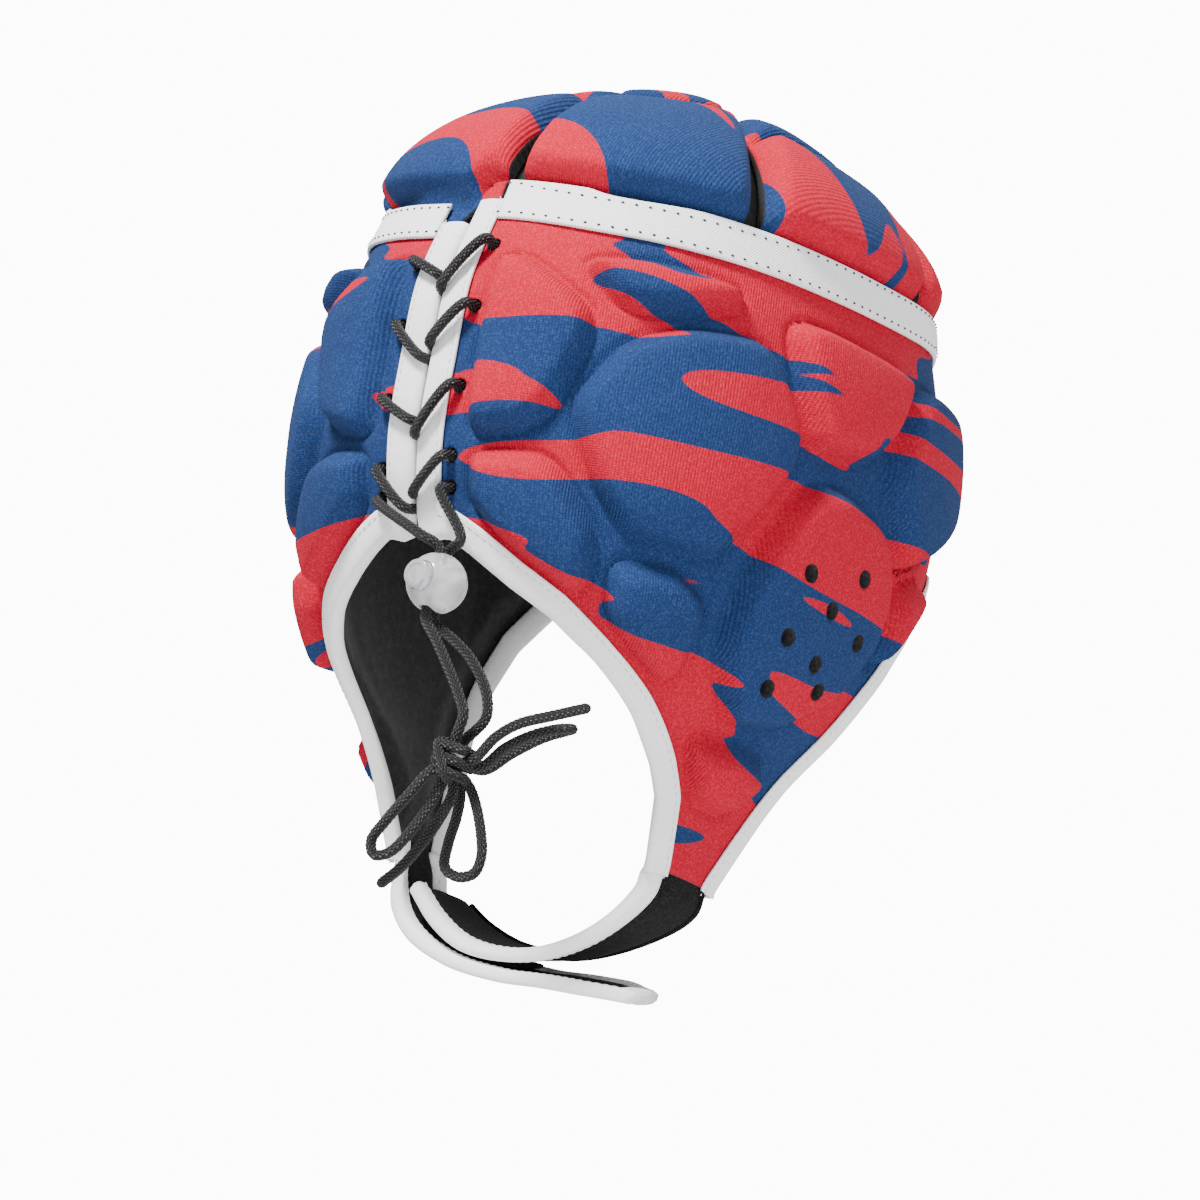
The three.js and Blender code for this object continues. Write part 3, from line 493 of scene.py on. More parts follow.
class Mesher:
    """Makes plain mesh objects from arrays of points in the ring's millimetres."""

    @staticmethod
    def place(name: str, points: Array, faces: Iterable, uv: Array | None = None,
              finishes: Sequence[Material] = (), slots: Array | None = None,
              merge: float = 0.0, scaled: bool = False) -> Piece:
        """Makes an object.

        Args:
            name: The piece's name.
            points: Its points.
            faces: Lists of point numbers, pointing outwards.
            uv: Two numbers a point, in metres.
            finishes: Its materials.
            slots: The material of each face.
            merge: The distance within which points are one, in metres.
            scaled: True if the points are in the frame's metres already.

        Returns:
            The object, linked into the scene.
        """
        mesh = bpy.data.meshes.new(name)
        mesh.from_pydata((points if scaled else FORM.metres(points)).tolist(), [], faces)
        if uv is not None:
            corner = np.zeros(len(mesh.loops), np.int32)
            mesh.loops.foreach_get("vertex_index", corner)
            weave = mesh.uv_layers.new(name="weave").data
            weave.foreach_set("uv", np.asarray(uv, np.float32)[corner].ravel())
        for finish in finishes:
            mesh.materials.append(finish)
        if slots is not None:
            mesh.polygons.foreach_set("material_index", np.asarray(slots, np.int32))
        if merge:
            work = bmesh.new()
            work.from_mesh(mesh)
            bmesh.ops.remove_doubles(work, verts=work.verts, dist=merge)
            bmesh.ops.dissolve_degenerate(work, edges=work.edges, dist=merge / 4)
            work.to_mesh(mesh)
            work.free()
        mesh.polygons.foreach_set("use_smooth", np.ones(len(mesh.polygons), bool))
        mesh.update()
        thing = bpy.data.objects.new(name, mesh)
        bpy.context.scene.collection.objects.link(thing)
        return thing

    @staticmethod
    def grid_faces(columns: int, rows: int, start: int = 0) -> Array:
        """Quads of a grid whose points run down each column in turn.

        Args:
            columns: How many columns.
            rows: How many rows.
            start: The first point's number.

        Returns:
            The quads.
        """
        i, j = np.meshgrid(np.arange(columns - 1), np.arange(rows - 1), indexing="ij")
        a = (start + i * rows + j).ravel()
        return np.stack([a, a + 1, a + rows + 1, a + rows], axis=1)

    @staticmethod
    def walled(name: str, outer: Array, inner: Array, faces: Array, uv: Array,
               finishes: Sequence[Material], merge: float = 0.0) -> Piece:
        """A closed sheet from its outer and inner face.

        Args:
            name: The piece's name.
            outer: Points of the outer face.
            inner: Points of the inner face, in the same order.
            faces: Quads of the outer face.
            uv: Two numbers a point.
            finishes: The outer cloth, then what edges and inside are made of.
            merge: The distance within which points are one.

        Returns:
            The object.
        """
        used, faces = np.unique(faces, return_inverse=True)
        faces = faces.reshape(-1, 4)
        outer, inner, uv = outer[used], inner[used], uv[used]
        n = len(outer)
        a, b, c, d = (outer[faces[:, k]] for k in range(4))
        out = (np.cross(c - a, d - b) * (a - inner[faces[:, 0]])).sum()
        if out < 0:
            faces = faces[:, ::-1]
        pairs = [np.stack([faces[:, k], faces[:, (k + 1) % 4]], axis=1) for k in range(4)]
        edges = np.concatenate(pairs)
        key, back = edges[:, 0] * n + edges[:, 1], edges[:, 1] * n + edges[:, 0]
        rim = edges[~np.isin(key, back)]
        walls = np.stack([rim[:, 1], rim[:, 0], rim[:, 0] + n, rim[:, 1] + n], axis=1)
        whole = np.concatenate([faces, faces[:, ::-1] + n, walls])
        slots = np.zeros(len(whole), np.int32)
        if len(finishes) > 1:
            slots[len(faces):] = 1
        return Mesher.place(name, np.vstack([outer, inner]), whole.tolist(), np.vstack([uv, uv]),
                            finishes, slots, merge)

    @staticmethod
    def lofted(name: str, rings: Array, finish: Material, girth: float = 0.0) -> Piece:
        """A closed solid from rings of points, its ends closed by flat faces.

        Args:
            name: The piece's name.
            rings: Rings by points by three numbers.
            finish: Its material.
            girth: The texture's width round the piece in millimetres, or 0 for its own.

        Returns:
            The object.
        """
        count, around, _ = rings.shape
        middle = rings.mean(axis=1)
        run = line_run(middle) * MM
        edge = np.linalg.norm(np.roll(rings[0], -1, axis=0) - rings[0], axis=1)
        across = np.concatenate([[0.0], np.cumsum(edge)[:-1]]) * MM
        if girth:
            across = np.arange(around) / around * girth * MM
        uv = np.stack(np.broadcast_arrays(across[None, :], run[:, None]), axis=-1).reshape(-1, 2)
        i, j = np.meshgrid(np.arange(count - 1), np.arange(around), indexing="ij")
        k = (j + 1) % around
        low, high = i * around, (i + 1) * around
        quads = np.stack([low + j, low + k, high + k, high + j], axis=-1).reshape(-1, 4)
        caps = [list(range(around))[::-1], list(range((count - 1) * around, count * around))]
        faces = quads.tolist() + caps
        flat = rings.reshape(-1, 3)
        a, b, c, d = (flat[quads[:, q]] for q in range(4))
        away = (a + c) / 2 - np.repeat(middle[:-1], around, axis=0)
        if np.einsum("ij,ij->i", np.cross(c - a, d - b), away).sum() < 0:
            faces = [face[::-1] for face in faces]
        return Mesher.place(name, flat, faces, uv, [finish])


class Value:
    """A socket in a shader, with Python's arithmetic."""

    def __init__(self, maker: "Shader", socket: bpy.types.NodeSocket) -> None:
        """Keeps the socket and the maker of its nodes."""
        self.maker, self.socket = maker, socket

    def _with(self, operation: str, *others: "Value | float") -> "Value":
        """One Math node on this value and others."""
        return self.maker.math(operation, self, *others)

    def __add__(self, other: "Value | float") -> "Value":
        """Sum."""
        return self._with("ADD", other)

    def __sub__(self, other: "Value | float") -> "Value":
        """Difference."""
        return self._with("SUBTRACT", other)

    def __mul__(self, other: "Value | float") -> "Value":
        """Product."""
        return self._with("MULTIPLY", other)

    def __rsub__(self, other: float) -> "Value":
        """Difference from a number."""
        return self.maker.math("SUBTRACT", other, self)

    __radd__, __rmul__ = __add__, __mul__

    def sine(self) -> "Value":
        """Sine."""
        return self._with("SINE")

    def size(self) -> "Value":
        """Absolute value."""
        return self._with("ABSOLUTE")


class Shader:
    """One material and its nodes."""

    def __init__(self, name: str) -> None:
        """Starts an empty material with its surface shader.

        Args:
            name: Its name.
        """
        self.material = bpy.data.materials.new(name)
        self.material.use_nodes = True
        self.tree = self.material.node_tree
        self.surface = self.tree.nodes["Principled BSDF"]

    def node(self, kind: str, settings: dict | None = None, **inputs: object) -> bpy.types.Node:
        """Adds a node.

        Args:
            kind: The node's type.
            settings: Its own settings, set first.
            inputs: Values or links of its sockets, by name with underscores for spaces.

        Returns:
            The node.
        """
        node = self.tree.nodes.new(kind)
        for key, value in (settings or {}).items():
            setattr(node, key, value)
        for key, value in inputs.items():
            self.join(node.inputs[key.replace("_", " ")], value)
        return node

    def join(self, socket: bpy.types.NodeSocket, value: object) -> None:
        """Links a value to a socket, or sets it there.

        Args:
            socket: The socket.
            value: A value, a link or a number.
        """
        if isinstance(value, Value):
            self.tree.links.new(value.socket, socket)
        elif isinstance(value, bpy.types.NodeSocket):
            self.tree.links.new(value, socket)
        else:
            socket.default_value = value

    def math(self, operation: str, *terms: "Value | float") -> Value:
        """A Math node.

        Args:
            operation: What it works out.
            *terms: Its inputs.

        Returns:
            Its result.
        """
        node = self.node("ShaderNodeMath", {"operation": operation})
        for socket, term in zip(node.inputs, terms):
            self.join(socket, term)
        return Value(self, node.outputs[0])

    def weave(self) -> tuple[Value, Value]:
        """The piece's own two lengths, in metres.

        Returns:
            The lengths round and along the piece.
        """
        both = self.node("ShaderNodeUVMap", {"uv_map": "weave"}).outputs[0]
        split = self.node("ShaderNodeSeparateXYZ", Vector=both)
        return Value(self, split.outputs[0]), Value(self, split.outputs[1])

    def place(self) -> bpy.types.NodeSocket:
        """The object's own coordinates."""
        return self.node("ShaderNodeTexCoord").outputs["Object"]

    def noise(self, vector: object, scale: float, detail: float = 2.0, rough: float = 0.5,
              bend: float = 0.0) -> Value:
        """A noise from 0 to 1.

        Args:
            vector: Where it is read.
            scale: Its scale.
            detail: Its octaves.
            rough: How strong the fine octaves are.
            bend: How far it is distorted.

        Returns:
            The noise.
        """
        node = self.node("ShaderNodeTexNoise", Vector=vector, Scale=scale, Detail=detail,
                         Roughness=rough, Distortion=bend)
        return Value(self, node.outputs[0])

    def ramp(self, value: Value, low: float, high: float, start: float = 0.0,
             end: float = 1.0) -> Value:
        """Value from low to high, smoothly turned into start to end.

        Args:
            value: A value, a link or a number.
            low: The value's low end.
            high: Its high end.
            start: The result at the low end.
            end: The result at the high end.

        Returns:
            The result.
        """
        node = self.node("ShaderNodeMapRange", {"interpolation_type": "SMOOTHSTEP"})
        keys = ("Value", "From Min", "From Max", "To Min", "To Max")
        for key, x in zip(keys, (value, low, high, start, end)):
            self.join(node.inputs[key], x)
        return Value(self, node.outputs[0])

    def mixed(self, share: Value, first: object, second: object) -> bpy.types.NodeSocket:
        """Two colours mixed by a share.

        Args:
            share: The second colour's share.
            first: The first colour.
            second: The second colour.

        Returns:
            The colour.
        """
        node = self.node("ShaderNodeMix", {"data_type": "RGBA", "blend_type": "MIX"})
        for number, x in ((0, share), (6, first), (7, second)):
            self.join(node.inputs[number], (*x, 1.0) if isinstance(x, tuple) else x)
        return node.outputs[2]

    def bump(self, height: Value, distance: float, strength: float = 1.0) -> None:
        """Feeds a height to the surface's normal."""
        node = self.node("ShaderNodeBump", Height=height, Distance=distance, Strength=strength)
        self.tree.links.new(node.outputs[0], self.surface.inputs["Normal"])

    def finish(self, **values: object) -> Material:
        """Sets the surface's own sockets and gives the material.

        Returns:
            The material.
        """
        for key, value in values.items():
            socket = self.surface.inputs[key.replace("_", " ")]
            self.join(socket, (*value, 1.0) if isinstance(value, tuple) else value)
        return self.material


@dataclass(frozen=True)
class CamoKnit:
    """Red and blue print on a fine knit with upright wales."""

    name: str = "camo_knit"
    red: Colour = (0.40, 0.0015, 0.019)
    red_pale: Colour = (0.60, 0.03, 0.06)
    blue: Colour = (0.008, 0.026, 0.096)
    blue_pale: Colour = (0.03, 0.07, 0.19)
    wale: float = 0.0008
    long_way: float = 17.5
    short_way: float = 50.0
    shift: Point = (0.0, 0.0, 0.0)
    turn: float = 0.0

    def material(self) -> Material:
        """The print with its knit.

        Returns:
            The material.
        """
        s = Shader(self.name)
        u, v = s.weave()
        both = s.node("ShaderNodeUVMap", {"uv_map": "weave"}).outputs[0]
        laid = s.node("ShaderNodeMapping", Vector=both, Location=self.shift,
                      Rotation=(0.0, 0.0, self.turn),
                      Scale=(self.long_way, self.short_way, 1.0)).outputs[0]
        drift = s.noise(laid, 0.9, 0.0, 0.4)
        pushed = s.node("ShaderNodeVectorMath", {"operation": "ADD"})
        push_x, push_y = (drift - 0.5) * 1.6, (drift - 0.5) * 0.9
        tall = s.node("ShaderNodeCombineXYZ", X=push_x, Y=push_y).outputs[0]
        s.join(pushed.inputs[0], laid)
        s.join(pushed.inputs[1], tall)
        broad = s.noise(pushed.outputs[0], 0.62, 0.0, 0.3)
        fingers = s.node("ShaderNodeMapping", Vector=pushed.outputs[0], Scale=(0.62, 2.1, 1.0))
        streak = s.noise(fingers.outputs[0], 0.95, 0.0, 0.4)
        share = s.ramp(broad * 0.6 + streak * 0.4, 0.4985, 0.5015)
        print_colour = s.mixed(share, self.blue, self.red)
        heather = s.ramp(s.noise(s.place(), 1500.0, 2.0, 0.7), 0.42, 0.72, 0.0, 0.65)
        worn = s.mixed(heather, print_colour, s.mixed(share, self.blue_pale, self.red_pale))
        wave = (u * (2 * math.pi / self.wale)).sine()
        loops = (v * (2 * math.pi / (self.wale * 0.8)) + wave.size() * 2.0).sine()
        lumps = s.noise(s.place(), 260.0, 3.0, 0.6)
        s.bump(wave * 0.55 + loops * 0.22 + lumps * 0.5, 0.00028, 0.55)
        return s.finish(Base_Color=worn, Roughness=0.9, Specular_IOR_Level=0.15)


@dataclass(frozen=True)
class PlainKnit:
    """One colour of knit or foam, with a soft nap."""

    name: str
    colour: Colour
    pale: Colour
    pitch: float = 0.0009
    nap: float = 420.0
    rough: float = 0.9
    relief: float = 0.00025
    sheen: float = 0.1

    def material(self) -> Material:
        """The cloth.

        Returns:
            The material.
        """
        s = Shader(self.name)
        u, v = s.weave()
        turns = 2 * math.pi / self.pitch
        ribs = (u * turns).sine() * (v * (turns / 0.9)).sine()
        nap = s.noise(s.place(), self.nap, 3.0, 0.65)
        colour = s.mixed(s.ramp(nap, 0.35, 0.75), self.colour, self.pale)
        s.bump(ribs * 0.4 + nap * 0.7, self.relief, 0.6)
        return s.finish(Base_Color=colour, Roughness=self.rough, Sheen_Weight=self.sheen,
                        Specular_IOR_Level=0.2)


@dataclass(frozen=True)
class LoopPile:
    """Curly loop cloth or stiff hooks for a fastening."""

    name: str
    colour: Colour
    pale: Colour
    curl: float = 1400.0
    relief: float = 0.0005

    def material(self) -> Material:
        """The pile.

        Returns:
            The material.
        """
        s = Shader(self.name)
        cells = s.node("ShaderNodeTexVoronoi", {"feature": "F1"}, Vector=s.place(), Scale=self.curl)
        curls = Value(s, cells.outputs["Distance"])
        hair = s.noise(s.place(), self.curl * 0.8, 4.0, 0.7, 1.2)
        colour = s.mixed(s.ramp(hair, 0.4, 0.8), self.colour, self.pale)
        s.bump(hair + curls * 0.6, self.relief, 0.8)
        return s.finish(Base_Color=colour, Roughness=0.95, Specular_IOR_Level=0.12)


@dataclass(frozen=True)
class BraidedCord:
    """Black braid whose strands cross in small raised lozenges, with a painted highlight on their
    tops.
    """

    name: str = "braided_cord"
    dark: Colour = (0.003, 0.003, 0.003)
    # The lighter grey painted on the strands' raised tops: a painted highlight, not the cord's own
    # colour.
    painted_highlight: Colour = (0.016, 0.016, 0.017)
    thick: float = 3.0
    strands: int = 8
    strand_step: float = 1.7

    def material(self) -> Material:
        """The braid.

        Returns:
            The material.
        """
        s = Shader(self.name)
        u, v = s.weave()
        around = u * (self.strands / (self.thick * MM))
        along = v * (math.pi / (self.strand_step * MM))
        lump = (around + along).sine().size() * (around - along).sine().size()
        fibres = s.noise(s.place(), 2600.0, 2.0, 0.6)
        # Painted highlight on the strands' raised tops and painted shade in the gaps between them,
        # with a little random fibre tone.
        colour = s.mixed(s.ramp(lump * 0.8 + fibres * 0.3, 0.25, 0.85), self.dark, self.painted_highlight)
        s.bump(lump + fibres * 0.15, 0.0005, 0.9)
        return s.finish(Base_Color=colour, Roughness=0.46, Specular_IOR_Level=0.4)


@dataclass(frozen=True)
class Plastic:
    """Clear, slightly frosted moulded plastic."""

    name: str = "frosted_plastic"
    colour: Colour = (0.86, 0.87, 0.9)
    rough: float = 0.16
    clear: float = 0.72

    def material(self) -> Material:
        """The plastic.

        Returns:
            The material.
        """
        s = Shader(self.name)
        haze = s.noise(s.place(), 160.0, 2.0, 0.5)
        s.bump(s.noise(s.place(), 700.0, 2.0, 0.5), 0.00006, 0.3)
        tint = s.mixed(s.ramp(haze, 0.3, 0.7), self.colour, (0.93, 0.93, 0.95))
        return s.finish(Base_Color=tint, Roughness=self.rough, Transmission_Weight=self.clear,
                        IOR=1.46)


@dataclass(frozen=True)
class Stitch:
    """One kind of stitch, in millimetres."""

    pitch: float
    long: float
    thick: float


EDGE_STITCH = Stitch(2.6, 1.7, 0.34)
BAND_STITCH = Stitch(3.9, 1.05, 0.75)


class StitchRows:
    """Rows of thread stitches that Geometry Nodes lay along lines."""

    def __init__(self, thread: Material) -> None:
        """Builds the tree once, for every row.

        Args:
            thread: The thread's material.
        """
        self.tree = bpy.data.node_groups.new("stitch_rows", "GeometryNodeTree")
        self.keys: dict[str, str] = {}
        face = self.tree.interface
        face.new_socket("Geometry", in_out="INPUT", socket_type="NodeSocketGeometry")
        for name in ("Pitch", "Stitch length", "Thread thickness"):
            size = face.new_socket(name, in_out="INPUT", socket_type="NodeSocketFloat")
            self.keys[name] = size.identifier
        face.new_socket("Geometry", in_out="OUTPUT", socket_type="NodeSocketGeometry")
        add = self.tree.nodes.new
        start, end = add("NodeGroupInput"), add("NodeGroupOutput")
        line, even = add("GeometryNodeMeshToCurve"), add("GeometryNodeResampleCurve")
        even.mode = "LENGTH"
        bead = add("GeometryNodeMeshUVSphere")
        bead.inputs["Segments"].default_value = 6
        bead.inputs["Rings"].default_value = 4
        bead.inputs["Radius"].default_value = 0.5
        aim, tangent = add("FunctionNodeAlignRotationToVector"), add("GeometryNodeInputTangent")
        aim.axis = "Z"
        scale, laid = add("ShaderNodeCombineXYZ"), add("GeometryNodeInstanceOnPoints")
        real, dress = add("GeometryNodeRealizeInstances"), add("GeometryNodeSetMaterial")
        dress.inputs["Material"].default_value = thread
        link = self.tree.links.new
        link(start.outputs[0], line.inputs["Mesh"])
        link(line.outputs[0], even.inputs["Curve"])
        link(start.outputs["Pitch"], even.inputs["Length"])
        link(even.outputs[0], laid.inputs["Points"])
        link(bead.outputs[0], laid.inputs["Instance"])
        link(tangent.outputs[0], aim.inputs["Vector"])
        link(aim.outputs[0], laid.inputs["Rotation"])
        for axis in "XY":
            link(start.outputs["Thread thickness"], scale.inputs[axis])
        link(start.outputs["Stitch length"], scale.inputs["Z"])
        link(scale.outputs[0], laid.inputs["Scale"])
        link(laid.outputs[0], real.inputs[0])
        link(real.outputs[0], dress.inputs["Geometry"])
        link(dress.outputs[0], end.inputs[0])

    def lay(self, name: str, lines: Sequence[Array], stitch: Stitch) -> None:
        """Lays stitches along lines, as one plain mesh.

        Args:
            name: The piece's name.
            lines: Lines of points, in the ring's millimetres.
            stitch: The stitch's sizes.
        """
        points, edges, start = [], [], 0
        for line in lines:
            points.append(line)
            edges += [(start + i, start + i + 1) for i in range(len(line) - 1)]
            start += len(line)
        mesh = bpy.data.meshes.new(name + "_line")
        mesh.from_pydata(FORM.metres(np.vstack(points)).tolist(), edges, [])
        carrier = bpy.data.objects.new(name + "_line", mesh)
        bpy.context.scene.collection.objects.link(carrier)
        layer = carrier.modifiers.new("stitches", "NODES")
        layer.node_group = self.tree
        for key, value in zip(self.keys.values(), (stitch.pitch, stitch.long, stitch.thick)):
            layer[key] = value * MM
        depsgraph = bpy.context.evaluated_depsgraph_get()
        made = bpy.data.meshes.new_from_object(carrier.evaluated_get(depsgraph))
        made.name = name
        bpy.data.objects.remove(carrier)
        made.polygons.foreach_set("use_smooth", np.ones(len(made.polygons), bool))
        thing = bpy.data.objects.new(name, made)
        bpy.context.scene.collection.objects.link(thing)
        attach(thing, "cap")


@dataclass
class View:
    """The photograph's viewpoint, its pale floor and its soft lights."""

    swing: float = 38.5
    rise: float = -14.0
    roll: float = 11.5
    distance: float = 1.5
    target: Point = (0.0, -0.010, -0.1354)
    lens: float = 154.1
    shift: tuple[float, float] = (-0.025, 0.0017)
    floor_half: float = 12.0
    floor_height: float = -0.95
    room_light: float = 0.8
    room_white: float = 12.0
    lights: tuple[tuple[str, float, float, float, float, float], ...] = (
        ("key", -0.7, 1.3, 0.8, 0.3, 52.0),
        ("fill", 0.7, -0.4, 1.1, 0.9, 15.0),
        ("rim", 0.7, 1.0, -0.7, 0.5, 8.0),
    )

    def axes(self) -> tuple[Vector, Vector, Vector]:
        """The camera's right, up and back directions.

        Returns:
            Three unit vectors.
        """
        a, e, r = (math.radians(x) for x in (self.swing, self.rise, self.roll))
        back = Vector((-math.sin(a) * math.cos(e), math.cos(a) * math.cos(e), math.sin(e)))
        right0 = Vector((-math.cos(a), -math.sin(a), 0.0))
        up0 = back.cross(right0)
        right = right0 * math.cos(r) + up0 * math.sin(r)
        return right, -right0 * math.sin(r) + up0 * math.cos(r), back

    def camera(self) -> None:
        """Makes the camera."""
        data = bpy.data.cameras.new("camera")
        data.lens, data.sensor_width = self.lens, 36.0
        data.shift_x, data.shift_y = self.shift
        data.clip_start, data.clip_end = 0.05, 60.0
        thing = bpy.data.objects.new("camera", data)
        bpy.context.scene.collection.objects.link(thing)
        right, up, back = self.axes()
        turned = Matrix((right, up, back)).transposed().to_4x4()
        turned.translation = Vector(self.target) + back * self.distance
        thing.matrix_world = turned
        bpy.context.scene.camera = thing

    def light(self, name: str, aside: float, above: float, near: float, size: float,
              power: float) -> None:
        """An area light placed from the camera's own directions, facing the cap.

        Args:
            name: Its name.
            aside: Metres to the camera's right.
            above: Metres up.
            near: Metres towards the camera.
            size: Its diameter.
            power: Its power in watts.
        """
        right, up, back = self.axes()
        data = bpy.data.lights.new(name, "AREA")
        data.shape, data.size, data.energy = "DISK", size, power
        thing = bpy.data.objects.new(name, data)
        bpy.context.scene.collection.objects.link(thing)
        away = right * aside + Vector((0, 0, 1)) * above + back * near
        thing.location = Vector(self.target) + away
        thing.rotation_mode = "QUATERNION"
        thing.rotation_quaternion = away.to_track_quat("Z", "Y")

    def stage(self) -> None:
        """Makes the floor, the white room and the lights."""
        s = Shader("floor_paper")
        s.bump(s.noise(s.place(), 40.0, 3.0, 0.5), 0.0004, 0.2)
        cloudy = s.ramp(s.noise(s.place(), 2.0), 0.3, 0.7)
        shade = s.mixed(cloudy, (0.9, 0.9, 0.9), (0.93, 0.93, 0.93))
        paper = s.finish(Base_Color=shade, Roughness=0.9)
        half, height = self.floor_half, self.floor_height
        signs = ((-1, -1), (1, -1), (1, 1), (-1, 1))
        corners = np.array([[x * half, y * half, height] for x, y in signs])
        floor = Mesher.place("floor", corners, [[0, 1, 2, 3]], None, [paper], scaled=True)
        world = bpy.data.worlds.new("white_room")
        world.use_nodes = True
        nodes, links = world.node_tree.nodes, world.node_tree.links
        soft_light, paper_white = nodes["Background"], nodes.new("ShaderNodeBackground")
        soft_light.inputs["Color"].default_value = (1.0, 1.0, 1.0, 1.0)
        soft_light.inputs["Strength"].default_value = self.room_light
        paper_white.inputs["Color"].default_value = (1.0, 1.0, 1.0, 1.0)
        paper_white.inputs["Strength"].default_value = self.room_white
        mix, ray = nodes.new("ShaderNodeMixShader"), nodes.new("ShaderNodeLightPath")
        links.new(ray.outputs["Is Camera Ray"], mix.inputs[0])
        links.new(soft_light.outputs[0], mix.inputs[1])
        links.new(paper_white.outputs[0], mix.inputs[2])
        links.new(mix.outputs[0], nodes["World Output"].inputs["Surface"])
        bpy.context.scene.world = world
        for row in self.lights:
            self.light(*row)


@dataclass
class ClothWalls:
    """The padded walls: two sides and the crown, each with its lining."""

    pads: PadLayout = field(default_factory=PadLayout)
    crown: CrownLayout = field(default_factory=CrownLayout)
    side_pitch: float = 1.15
    lining_pitch: float = 1.9
    petal_grid: tuple[int, int] = (47, 88)
    crown_lining_grid: tuple[int, int] = (121, 40)
    unevenness: tuple[float, float] = (16.0, 0.35)
    lace_hole: float = 4.6
    ear_hole: float = 5.4
    lace_hole_side: float = 15.0
    lace_rows: tuple[tuple[float, float], ...] = (
        (0.102, 0.139), (0.222, 0.255), (0.355, 0.378), (0.472, 0.494), (0.522, 0.54),
    )
    ear_holes: tuple[tuple[float, float], ...] = (
        (79, 0.511), (92, 0.478), (86, 0.549), (78, 0.616), (96, 0.573), (87, 0.634), (78, 0.698),
        (91, 0.669),
    )

    def grid(self, side: Side, pitch: float) -> tuple[Array, Array, Array]:
        """The parameters of one side's grid.

        Args:
            side: Which side.
            pitch: Roughly how far apart the points are, in millimetres.

        Returns:
            Azimuths and levels a point, and the quads.
        """
        fine = np.linspace(FORM.side_edge, FORM.front_edge, 2000)
        line = FORM.point(fine, np.full_like(fine, -0.4))
        run = line_run(line)
        count = int(run[-1] / pitch)
        az = np.interp(np.linspace(0, run[-1], count), run, fine)
        for mark in FORM.flap_turns:
            az[np.argmin(np.abs(az - mark))] = mark
        rows = int(150.0 / pitch)
        top = FORM.band_drop(side.value * az) + FORM.gap / 2
        drop = top[:, None] + (FORM.rim_drop(az) - top)[:, None] * np.linspace(0, 1, rows)[None, :]
        azimuth = np.repeat(side.value * az, rows)
        return azimuth, FORM.level_of(drop.ravel()), Mesher.grid_faces(count, rows)

    def holes(self, side: Side, ear: bool) -> list[tuple[float, float, float]]:
        """Places and radii of one side's holes.

        Args:
            side: Which side.
            ear: True for the ear's holes too.

        Returns:
            Azimuth, level and radius of each.
        """
        at = side.value * FORM.degrees_back(self.lace_hole_side)
        column = 0 if side is Side.RIGHT else 1
        found = [(at, -row[column], self.lace_hole / 2) for row in self.lace_rows]
        if ear:
            found += [(side.value * a, -d, self.ear_hole / 2) for a, d in self.ear_holes]
        return found

    def punch(self, azimuth: Array, level: Array, faces: Array,
              holes: Sequence[tuple[float, float, float]]) -> Array:
        """Opens round holes in a grid, and moves the points beside them on to their edges.

        Args:
            azimuth: Azimuths a point, changed in place.
            level: Levels a point, changed in place.
            faces: The quads.
            holes: Azimuth, level and radius of each.

        Returns:
            The quads that are left.
        """
        keep = np.ones(len(faces), bool)
        for a0, l0, radius in holes:
            turns, levels = [a0 - 0.5, a0 + 0.5, a0, a0], [l0, l0, l0 - 0.005, l0 + 0.005]
            ends = FORM.point(np.array(turns), np.array(levels))
            ku, kv = np.linalg.norm(ends[1] - ends[0]), np.linalg.norm(ends[3] - ends[2]) / 0.01
            dx, dy = (azimuth - a0) * ku, (level - l0) * kv
            away = np.hypot(dx, dy)
            inside = (away < radius * 1.08)[faces]
            whole = inside.all(axis=1)
            mixed = inside.any(axis=1) & ~whole
            rim = np.unique(faces[mixed][inside[mixed]])
            grow = radius / np.maximum(away[rim], 1e-6)
            azimuth[rim], level[rim] = a0 + dx[rim] * grow / ku, l0 + dy[rim] * grow / kv
            keep &= ~whole
        return faces[keep]

    def uneven(self, points: Array) -> Array:
        """A gentle unevenness of the cloth, in millimetres."""
        size, amount = self.unevenness
        return np.array([noise.noise(Vector(p) / size) for p in points.tolist()]) * amount

    def from_edge(self, azimuth: Array, level: Array) -> Array:
        """How far each place of a side lies from its lower edge and its edge beside the laces.

        Args:
            azimuth: Degrees round from the laces.
            level: 1 at the crown's top, -1 at the flap's end.

        Returns:
            Millimetres.
        """
        marks = (FORM.side_edge, *FORM.flap_turns, 180.0)
        turn = np.concatenate([np.linspace(low, high, count) for low, high, count
                               in zip(marks[:-1], marks[1:], (150, 24, 60, 24, 200))])
        rim = FORM.point(turn, FORM.level_of(FORM.rim_drop(turn)))
        lace = FORM.point(np.full(120, FORM.side_edge), np.linspace(0.0, -0.6, 120))
        line = np.concatenate([rim, lace])
        here = FORM.point(np.abs(azimuth), level)
        return np.concatenate([np.linalg.norm(part[:, None] - line[None], axis=2).min(axis=1)
                               for part in np.array_split(here, 24)])

    def pressed(self, from_edge: Array) -> Array:
        """How far the wall is pressed thin near its bound edges, in millimetres."""
        return FORM.edge_press * (1.0 - soft(7.0, 17.0, from_edge))

